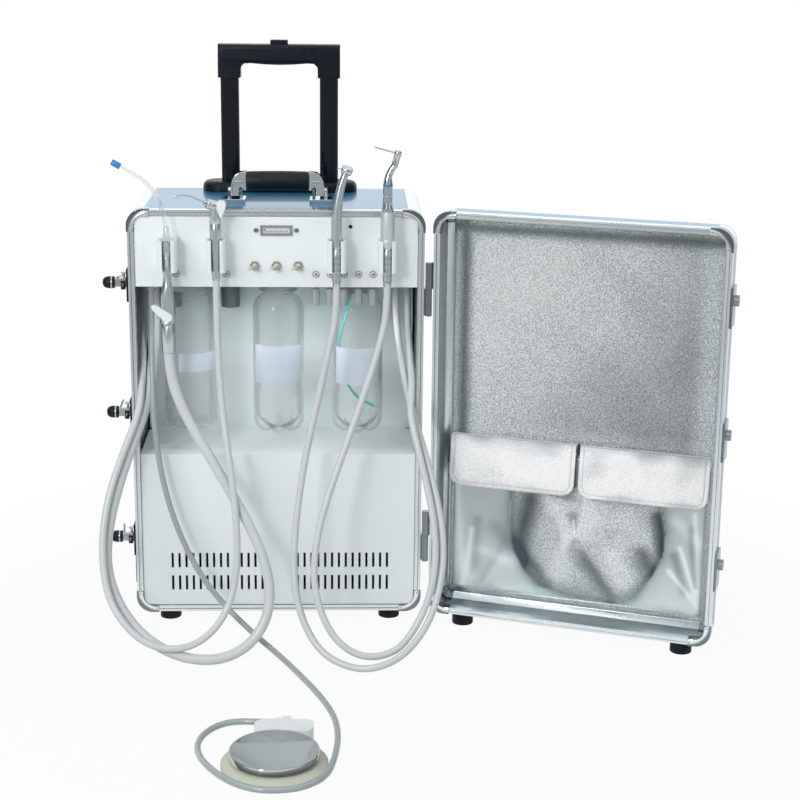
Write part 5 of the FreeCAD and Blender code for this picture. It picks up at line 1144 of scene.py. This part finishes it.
def step(value, low, high):
    """0 below low, 1 above high, smooth between."""
    share = min(1.0, max(0.0, (value - low) / (high - low)))
    return share * share * (3 - 2 * share)


def grid(columns, rows, spot):
    """A sheet of quads; spot gives each point from its two shares of the way across and up."""
    bm = bmesh.new()
    net = [[bm.verts.new(spot(i / columns, k / rows)) for i in range(columns + 1)] for k in range(rows + 1)]
    for k in range(rows):
        for i in range(columns):
            bm.faces.new((net[k][i], net[k][i + 1], net[k + 1][i + 1], net[k + 1][i]))
    return bm


def lining_point(across_share, up_share):
    x = LINING_LEFT + (LINING_RIGHT - LINING_LEFT) * across_share
    z = LINING_LOW + (LINING_TOP - LINING_LOW) * up_share
    edge = min(x - LINING_LEFT, LINING_RIGHT - x, z - LINING_LOW, LINING_TOP - z)
    roll = 2.7 * math.exp(-edge / 8.0)
    return in_door(x, LINING_FRONT + roll + 0.2 * waves(x, z, 90, 3), z)


def lining_painted_light(x, z):
    """Painted light and shade: dark where the foam rounds over at the left and top, bright up left, dimmer down
    right.
    """
    left, top, right = x - LINING_LEFT, LINING_TOP - z, LINING_RIGHT - x
    painted_light_and_grain = 0.95 - 0.55 * step((x - 90) + (545 - z) * 0.8, 0, 420) + 0.10 * waves(x, z, 80, 4)
    painted_light_and_grain += 0.3 * step(x, 350, 378) + 0.2 * (1 - step(z, 278, 305))
    round_over = max(math.exp(-((left - 17) / 11) ** 2), math.exp(-((top - 13) / 10) ** 2))
    return painted_light_and_grain * (1 - 0.85 * round_over) + 0.25 * (1 - step(min(left, top), 2, 7))


def sheet_mesh(bm, label):
    """Shades a sheet smooth, with its face towards the user."""
    bm.normal_update()
    if sum(face.normal.y for face in bm.faces) > 0:
        bmesh.ops.reverse_faces(bm, faces=bm.faces)
    made = bpy.data.meshes.new(label)
    bm.to_mesh(made)
    bm.free()
    made.shade_smooth()
    return made


def thicken(thing, thickness, offset):
    wall = thing.modifiers.new("thickness", "SOLIDIFY")
    wall.thickness = thickness * MM
    wall.offset = offset
    return thing


lining_mesh = with_painted_light(sheet_mesh(grid(90, 130, lining_point), "foil_lining"), lining_painted_light)
lining = piece("foil_lining", lining_mesh, "door", [foil], ["door_lining"])
thicken(lining, 0.8, 0)

# %% [markdown]
# ## Pocket
# The pocket is a bag of clear film with a loose foil layer behind it. Both are sheets. The
# foil sags in its middle, inside an outline given by a few corners, and is rumpled in soft
# ridges. The film has sharper folds that run into its lower right corner. Each fold is a
# soft ridge along a short line, so the sheets stay smooth and never cross the door's lining.

# %% Film and the foil behind it
POCKET_LEFT, POCKET_RIGHT, POCKET_LOW, POCKET_TOP = 24, 388, 45, 257
POCKET_BULGE, POCKET_MOUTH, BELLY_LOW, BELLY_HIGH = 27, 8, 35, 90


def pocket_depth(z):
    """How far the bag stands off the lining at a height, in mm."""
    height = z - POCKET_LOW
    if height < BELLY_LOW:
        return POCKET_BULGE - 6 * (1 - height / BELLY_LOW)
    if height < BELLY_HIGH:
        return POCKET_BULGE
    share = (height - BELLY_HIGH) / (POCKET_TOP - POCKET_LOW - BELLY_HIGH)
    return POCKET_BULGE + (POCKET_MOUTH - POCKET_BULGE) * share


def crease(x, z, place, slope, width):
    """A soft ridge along a slanted line."""
    away = (x - place) - slope * (z - POCKET_LOW)
    return math.exp(-(away / width) ** 2)


def film_point(across_share, up_share):
    x = POCKET_LEFT + (POCKET_RIGHT - POCKET_LEFT) * across_share
    z = POCKET_LOW + (POCKET_TOP - POCKET_LOW) * up_share
    edge = min(x - POCKET_LEFT, POCKET_RIGHT - x, z - POCKET_LOW)
    hold = 1 - math.exp(-edge / 12)
    low = math.exp(-(z - POCKET_LOW) / 70)
    corner = crease(x, z, 384, -0.35, 4) + crease(x, z, 380, -0.75, 3.5) - crease(x, z, 372, -0.55, 6)
    fold = 4 * low * corner
    fold += 3 * crease(x, z, 386, -0.16, 3.5) - 2 * crease(x, z, 352, -0.1, 9) + 3 * crease(x, z, 46, 0.05, 4)
    fold += 2 * low * crease(x, z, 60, 1.1, 5) + 1.4 * waves(x, z, 46, 1)
    depth = max(1.6, pocket_depth(z) * (0.3 + 0.7 * hold) - 3.5 + 0.7 * fold * hold)
    return in_door(x, LINING_FRONT - depth, z)


# The outline of the sagging middle of the foil, in mm on the door.
BAG = [(112, 215), (110, 150), (116, 112), (133, 82), (154, 63), (201, 54), (263, 48), (292, 66), (315, 96),
       (329, 126), (331, 165), (322, 215)]


def off_line(x, z, ax, az, bx, bz):
    """Distance of a point from the straight line between two others."""
    share = ((x - ax) * (bx - ax) + (z - az) * (bz - az)) / ((bx - ax) ** 2 + (bz - az) ** 2)
    share = min(1.0, max(0.0, share))
    return math.hypot(x - ax - share * (bx - ax), z - az - share * (bz - az))


def inside_bag(x, z):
    """How deep a point lies inside the sagging middle of the foil, in mm; negative outside."""
    nearest, inside = math.inf, False
    for (ax, az), (bx, bz) in zip(BAG, BAG[1:] + BAG[:1]):
        nearest = min(nearest, off_line(x, z, ax, az, bx, bz))
        if (az > z) != (bz > z) and x < ax + (bx - ax) * (z - az) / (bz - az):
            inside = not inside
    return nearest if inside else -nearest


# Ridges and valleys of the rumpled bag, which shape the foil and also set its painted highlights and shade: two
# ends, half width and height, in mm on the door.
BAG_FOLDS = [
    (168, 193, 200, 148, 13, 0.55), (140, 189, 119, 104, 17, -0.6), (128, 105, 165, 70, 13, -0.5),
    (218, 222, 226, 156, 17, 0.5), (207, 149, 177, 81, 19, 0.5), (208, 125, 260, 58, 10, -0.45),
    (265, 112, 285, 66, 22, 0.45), (202, 172, 208, 139, 7, -0.6), (301, 126, 325, 91, 15, -0.5),
    (318, 186, 332, 130, 8, -0.6), (178, 205, 208, 196, 8, -0.3), (250, 190, 300, 150, 20, 0.15),
]
# Painted highlights and shade of the film's folds, laid only in the colour of the flat foil around the bag: two
# ends, half width and height, in mm on the door.
PAINTED_FILM_FOLDS = [
    (382, 59, 338, 107, 3, 0.7), (382, 59, 352, 142, 3, 0.6), (382, 60, 370, 192, 4, 0.5),
    (55, 136, 47, 65, 4, 0.5), (32, 202, 43, 50, 5, 0.4), (66, 107, 114, 93, 8, 0.3),
    (360, 80, 345, 130, 7, -0.5), (376, 90, 366, 170, 6, -0.5), (62, 150, 60, 80, 8, -0.3),
    (90, 140, 108, 120, 12, -0.3),
    (345, 180, 380, 150, 9, 0.3),
]


def folds(lines, x, z):
    """Sum of soft ridges, each along its own short line."""
    return sum(height * math.exp(-(off_line(x, z, *ends) / width) ** 2) for *ends, width, height in lines)


# Painted light and shade of the foil behind the film: bright on ridges, dark in valleys, a dark band just
# inside the bag's outline, darker just outside it, and darker higher up outside it.
def bag_painted_light(x, z):
    within = inside_bag(x, z)
    if within > 0:
        return 0.62 + 0.95 * folds(BAG_FOLDS, x, z) - 0.2 * math.exp(-((within - 3) / 4) ** 2)
    return 0.72 + 0.8 * folds(PAINTED_FILM_FOLDS, x, z) - 0.4 * math.exp(within / 9) - 0.2 * step(z, 60, 200)


def backing_point(across_share, up_share):
    x = POCKET_LEFT + 4 + (POCKET_RIGHT - POCKET_LEFT - 8) * across_share
    z = POCKET_LOW + 3 + (POCKET_TOP - POCKET_LOW - 4) * up_share
    room = max(2.0, pocket_depth(z) - 9)
    swell = 1 / (1 + math.exp(-(inside_bag(x, z) - 4) / 4.5))
    rumple = 0.62 + 0.8 * folds(BAG_FOLDS, x, z) + 0.15 * waves(x, z, 48, 7)
    depth = 2 + 1.2 * waves(x, z, 40, 11) + 2.5 * crease(x, z, 70, 0.5, 10) * (1 - swell)
    depth += swell * room * min(1.0, max(0.12, rumple))
    return in_door(x, LINING_FRONT - min(depth, room + 2), z)


WELD_WIDTH = 7  # the film's denser rim
back_mesh = with_painted_light(sheet_mesh(grid(150, 100, backing_point), "pocket_backing"), bag_painted_light)
front_mesh = sheet_mesh(grid(120, 80, film_point), "pocket_film")
for face in back_mesh.polygons:
    spot = to_door @ face.center / MM
    face.material_index = int(inside_bag(spot.x, spot.z) < 0)
for face in front_mesh.polygons:
    spot = to_door @ face.center / MM
    edge = min(spot.x - POCKET_LEFT, POCKET_RIGHT - spot.x, spot.z - POCKET_LOW)
    face.material_index = int(edge < WELD_WIDTH)
backing = piece("pocket_backing", back_mesh, "door", [foil, flat_foil])
thicken(backing, 0.4, -1)
front = piece("pocket_film", front_mesh, "door", [film, film_edge], ["door_pocket"])
thicken(front, 0.3, -1)

# %% [markdown]
# ## Flaps
# Each flap is foil over thin foam, cut with two round corners and stitched a few millimetres
# inside its edge. Its face is a grid whose columns end on the round outline. The foam swells
# away from the edge, and the seam pulls a groove into it. Both flaps hang from one hem.

# %% Flaps
FLAP_HINGE_Y, FLAP_HINGE_Z = 43.522, 274
FLAP_WIDTH, FLAP_DROP, FLAP_CORNER, FLAP_THICK = 179, 70, 18, 3.6
FLAP_TILT = -math.atan((POCKET_BULGE - POCKET_MOUTH) / (POCKET_TOP - POCKET_LOW - BELLY_HIGH))
SEAM_IN = 5.5


def flap_edge(x, z):
    """Distance in from the flap's outline, its top edge left out."""
    side, foot = min(x, FLAP_WIDTH - x), z + FLAP_DROP
    if side < FLAP_CORNER and foot < FLAP_CORNER:
        return FLAP_CORNER - math.hypot(FLAP_CORNER - side, FLAP_CORNER - foot)
    return min(side, foot)


def flap_spot(left, x, z, lift=0.0):
    """A point on the flap's face, from its own x and z in mm."""
    edge = flap_edge(x, z)
    puff = 0.9 * (1 - math.exp(-max(edge, 0) / 7)) - 0.55 * math.exp(-((edge - SEAM_IN) / 1.1) ** 2)
    puff *= min(1.0, max(0.0, -z / 9))  # flat by the hinge, clear of the hem when it turns
    depth = -FLAP_THICK / 2 - puff + 0.35 * waves(x + left, z, 38, 5) - lift
    y = depth * math.cos(FLAP_TILT) - z * math.sin(FLAP_TILT)
    height = depth * math.sin(FLAP_TILT) + z * math.cos(FLAP_TILT)
    return in_door(left + x, FLAP_HINGE_Y + y, FLAP_HINGE_Z + height)


def flap_face(left):
    """Gives a grid its flap: columns crowd at both sides and end on the round outline."""
    def spot(across_share, up_share):
        x = FLAP_WIDTH * (0.5 - 0.5 * math.cos(math.pi * across_share))
        side = min(x, FLAP_WIDTH - x, FLAP_CORNER)
        low = -FLAP_DROP + FLAP_CORNER - math.sqrt(FLAP_CORNER ** 2 - (FLAP_CORNER - side) ** 2)
        return flap_spot(left, x, low + (FLAP_THICK / 2 - low) * up_share)
    return spot


def flap_painted_light(x, z):
    """Painted light and shade: brightest across the middle, painted shade at the hinge and near the foot, with
    soft random unevenness.
    """
    return 0.95 - 0.45 * step(z, 258, 276) - 0.3 * (1 - step(z, 204, 220)) + 0.6 * waves(x, z, 42, 9)


FLAP_LEFTS = {"left": POCKET_LEFT, "right": POCKET_LEFT + FLAP_WIDTH + 6}
for side, left in FLAP_LEFTS.items():
    mesh = with_painted_light(sheet_mesh(grid(110, 48, flap_face(left)), f"flap_{side}_foil"), flap_painted_light)
    flap = piece(f"flap_{side}_foil", mesh, f"flap_{side}", [flap_foil],
                 [f"pocket_flap_{side}"])
    thicken(flap, FLAP_THICK - 0.6, -1)

hem = Shape().block((POCKET_LEFT, 46.9, 271), (POCKET_RIGHT, 50.6, 277), lay=in_door)
# A dark block in the gap between the two flaps: a small snap, and painted shade of the gap.
hem.block((204.6, 42, 262), (208, 46, 279), finish=1, lay=in_door)
soften(piece("flap_hem", with_painted_light(hem.mesh("flap_hem"), flap_painted_light), "door", [flap_foil, iron]), 1.6, 3)

# %% [markdown]
# ## What repeats
# Stitches and rivets are made by Geometry Nodes. `Recipe` builds one tree with named sizes,
# runs it over a few points or a line, and takes the result as a plain mesh, so that nothing
# live is left on the piece.

# %% Recipes
class Recipe(Nodes):
    """A Geometry Nodes tree whose inputs have names."""

    def __init__(self, name, finish, **sizes):
        super().__init__(bpy.data.node_groups.new(name, "GeometryNodeTree"))
        self.finish = finish
        sockets = self.tree.interface
        for side in ("INPUT", "OUTPUT"):
            sockets.new_socket("Geometry", in_out=side, socket_type="NodeSocketGeometry")
        for label, size in sizes.items():
            sockets.new_socket(label, in_out="INPUT", socket_type="NodeSocketFloat").default_value = size
        self.given = self.tree.nodes.new("NodeGroupInput").outputs
        self.end = self.tree.nodes.new("NodeGroupOutput").inputs[0]

    def spread(self, points, instance, rotation):
        """Puts one instance on each point, makes them real and gives them the finish."""
        inputs = {"Points": points, "Instance": instance, "Rotation": rotation}
        many = self.add("GeometryNodeInstanceOnPoints", None, inputs)
        real = self.add("GeometryNodeRealizeInstances", None, {"Geometry": many})
        inputs = {"Geometry": real, "Material": self.finish.material}
        self.fill(self.end, self.add("GeometryNodeSetMaterial", None, inputs))

    def grown(self, label, spots, body, slot, joined=True, **sizes):
        """Runs the tree over points, joined in a line or not, and keeps the result as a piece."""
        mesh = bpy.data.meshes.new(label + "_points")
        edges = [(n, n + 1) for n in range(len(spots) - 1)] if joined else []
        mesh.from_pydata(spots, edges, [])
        carrier = bpy.data.objects.new(label + "_points", mesh)
        scene.collection.objects.link(carrier)
        modifier = carrier.modifiers.new("recipe", "NODES")
        modifier.node_group = self.tree
        for socket in self.tree.interface.items_tree:
            if socket.in_out == "INPUT" and socket.name in sizes:
                modifier[socket.identifier] = sizes[socket.name]
        graph = bpy.context.evaluated_depsgraph_get()
        result = bpy.data.meshes.new_from_object(carrier.evaluated_get(graph))
        result.name = label
        carrier.modifiers.clear()
        bpy.data.objects.remove(carrier)
        result.materials.clear()
        result.shade_smooth()
        print(label, len(result.polygons), "faces")
        return piece(label, result, body, [self.finish])


stitching = Recipe("stitching", thread, Pitch=0.0034, Length=0.0022, Thickness=0.0004)
pitch, length, thickness = (stitching.given[name] for name in ("Pitch", "Length", "Thickness"))
line = stitching.add("GeometryNodeMeshToCurve", None, {"Mesh": stitching.given["Geometry"]})
dots = stitching.add("GeometryNodeResampleCurve", {"mode": "LENGTH"}, {"Curve": line, "Length": pitch})
inputs = {"Vertices": 6, "Radius": thickness, "Depth": length}
bead = stitching.add("GeometryNodeMeshCylinder", None, inputs, output="Mesh")
inputs = {"Vector": stitching.add("GeometryNodeInputTangent")}
stitching.spread(dots, bead, stitching.add("FunctionNodeAlignRotationToVector", {"axis": "Z"}, inputs))

studs = Recipe("studs", steel, Radius=0.002)
inputs = {"Segments": 16, "Rings": 8, "Radius": studs.given["Radius"]}
ball = studs.add("GeometryNodeMeshUVSphere", None, inputs, output="Mesh")
flat = studs.add("GeometryNodeTransform", None, {"Geometry": ball, "Scale": (1, 0.5, 1)})
studs.spread(studs.given["Geometry"], flat, (0, 0, 0))

# %% [markdown]
# A flap's seam runs down one side, round both corners and up the other side. The lining is
# stitched along its left and top edges. One rivet holds each arm of a corner piece.

# %% Stitches and rivets
for side, left in FLAP_LEFTS.items():
    arc = [math.radians(a) for a in range(0, 91, 10)]
    inner, turn_z = FLAP_CORNER - SEAM_IN, FLAP_CORNER - FLAP_DROP
    seam = [(SEAM_IN, 0), (SEAM_IN, turn_z)]
    seam += [(FLAP_CORNER - inner * math.cos(a), turn_z - inner * math.sin(a)) for a in arc]
    seam += [(x, SEAM_IN - FLAP_DROP) for x in range(24, 160, 8)]
    seam += [(FLAP_WIDTH - x, z) for x, z in seam[len(arc) + 1:1:-1]]
    seam += [(FLAP_WIDTH - SEAM_IN, turn_z), (FLAP_WIDTH - SEAM_IN, 0)]
    spots = [flap_spot(left, x, z, 0.15) for x, z in seam]
    stitching.grown(f"flap_{side}_stitches", spots, f"flap_{side}", SLOTS[f"pocket_flap_{side}"])
STITCH_Y, STITCH_IN, BOLD = 50.6, 2.5, 0.0006
left_seam = [in_door(LINING_LEFT + STITCH_IN, STITCH_Y, z) for z in range(40, 580, 20)]
top_seam = [in_door(x, STITCH_Y, LINING_TOP - STITCH_IN) for x in range(24, 392, 20)]
stitching.grown("lining_left_stitches", left_seam, "door", "lining", Thickness=BOLD)
stitching.grown("lining_top_stitches", top_seam, "door", "lining", Thickness=BOLD)


def rivet_spots(lay, left, right):
    """A spot on each arm of the four corner pieces of a frame."""
    arms = [(4.5, 27), (27, 4.5)]
    uprights, levels = ((left, 1), (right, -1)), ((SHELL_LOW, 1), (SHELL_HIGH, -1))
    return [lay(x0 + sx * x, 0.2, z0 + sz * z) for x0, sx in uprights for z0, sz in levels for x, z in arms]


RIVETS = {"case": rivet_spots(in_case, -200, 200), "door": rivet_spots(in_door, DOOR_NEAR, DOOR_FAR)}
for body, spots in RIVETS.items():
    studs.grown(body + "_rivets", spots, body, "corner", joined=False, Radius=0.0014)

# %% [markdown]
# ## Floor, room and lamps
# The room is pale. The camera, mirrors and clear plastic see it as white, while it lights
# the object with less, so that white paint keeps its shading. Behind the camera the room
# is darker, which gives chrome its contrast. The floor fades into the room's white but
# keeps the shadow close to the object.

# %% Floor
HALF_FLOOR = 30
floor_mesh = bpy.data.meshes.new("floor")
corners = [(x * HALF_FLOOR, y * HALF_FLOOR, 0) for x, y in ((-1, -1), (1, -1), (1, 1), (-1, 1))]
floor_mesh.from_pydata(corners, [], [(0, 1, 2, 3)])
floor = bpy.data.objects.new("floor", floor_mesh)
scene.collection.objects.link(floor)
floor_paint = Finish("floor_paint", (0.55, 0.56, 0.56), 0.7)
x, y, _ = floor_paint.axes(floor_paint.place())
distance = (x * x + y * y).math("SQRT")
seen, mirrored = floor_paint.rays()
in_front = floor_paint.between(0 - y, 0.55, 1.3)
share = seen * (0.94 + 0.06 * floor_paint.between(distance, 0.5, 1.1))
share = share.math("MAXIMUM", mirrored)
brightness = 1.0 - mirrored * (0.1 + 0.42 * in_front)
glow = floor_paint.add("ShaderNodeEmission", None, {"Color": (1, 1, 1), "Strength": brightness})
inputs = {0: share, 1: floor_paint.shader.outputs[0], 2: glow}
blend = floor_paint.add("ShaderNodeMixShader", None, inputs)
floor_paint.fill(floor_paint.tree.nodes["Material Output"].inputs["Surface"], blend)
floor_mesh.materials.append(floor_paint.material)
floor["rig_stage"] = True

# %% [markdown]
# The room is the world shader. Mirrors see a dark room with bright screens at the left, the
# right, above and behind the object, and darker bands between them.

# %% Room
ROOM_LIGHT, ROOM_DARK = 0.46, 0.32
ROOM_COLOR, SCREEN_LIGHT = (0.96, 0.99, 1.0), 1.2
world = bpy.data.worlds.new("room")
scene.world = world
world.use_nodes = True
room = Nodes(world.node_tree)
seen, mirrored = room.rays()
sideways, toward_back, height = room.axes(room.add("ShaderNodeTexCoord", output="Generated"))
left_screen = room.between(0 - sideways, 0.30, 0.45) * (1 - room.between(0 - sideways, 0.62, 0.78))
right_screen = room.between(sideways, 0.35, 0.5) * (1 - room.between(sideways, 0.66, 0.8))
screens = (left_screen + right_screen * 0.6).math("MAXIMUM", room.between(height, 0.45, 0.6))
screens = screens.math("MAXIMUM", room.between(toward_back, 0.4, 0.6))
sides = room.between(toward_back, -0.5, -0.25) * (1 - room.between(toward_back, 0.3, 0.5))
mirror_light = ROOM_DARK * (1 - 0.6 * sides) + (SCREEN_LIGHT - ROOM_DARK) * screens
strength = ROOM_LIGHT + mirrored * (mirror_light - ROOM_LIGHT)
backdrop = room.tree.nodes["Background"].inputs
room.fill(backdrop["Strength"], strength * (1 - seen) + seen)
room.fill(backdrop["Color"], ROOM_COLOR)

# %% [markdown]
# Large soft boxes light the unit from the left, the right and above. A narrow one lights the
# bay from under the panel, and a small one leaves glints on plastic and chrome.

# %% Lamps
def lamp(label, place, target, size, power, mirrored=False, deep=None):
    """A soft box, square unless told how deep, that points at a target."""
    data = bpy.data.lights.new(label, "AREA")
    data.shape = "RECTANGLE"
    data.size, data.size_y = size, deep or size
    data.energy = power
    made = bpy.data.objects.new(label, data)
    scene.collection.objects.link(made)
    made.location = place
    made.rotation_euler = (Vector(target) - Vector(place)).to_track_quat("-Z", "Y").to_euler()
    made.visible_glossy = mirrored
    made.visible_camera = False


MIDDLE = (0, 0, 0.35)
lamp("left_box", (-1.7, -1.9, 1.9), MIDDLE, 1.8, 33)
lamp("right_box", (1.9, -1.5, 1.5), MIDDLE, 1.6, 11)
lamp("top_box", (0.0, 0.3, 2.4), MIDDLE, 1.6, 3.5)
lamp("bay_box", in_case(0, 20, 445), in_case(0, 110, 290), 0.3, 0.13, deep=0.015)
lamp("glint_box", (-0.9, -1.5, 1.1), (-0.1, 0, 0.35), 0.35, 7, mirrored=True)

# %% [markdown]
# ## The scene's box
# The dressed object must stay inside the CAD model's box, so the scene's box is printed.

# %% Sizes and finish
low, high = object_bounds()
print("scene box", [round(v, 3) for v in (*low, *high)])
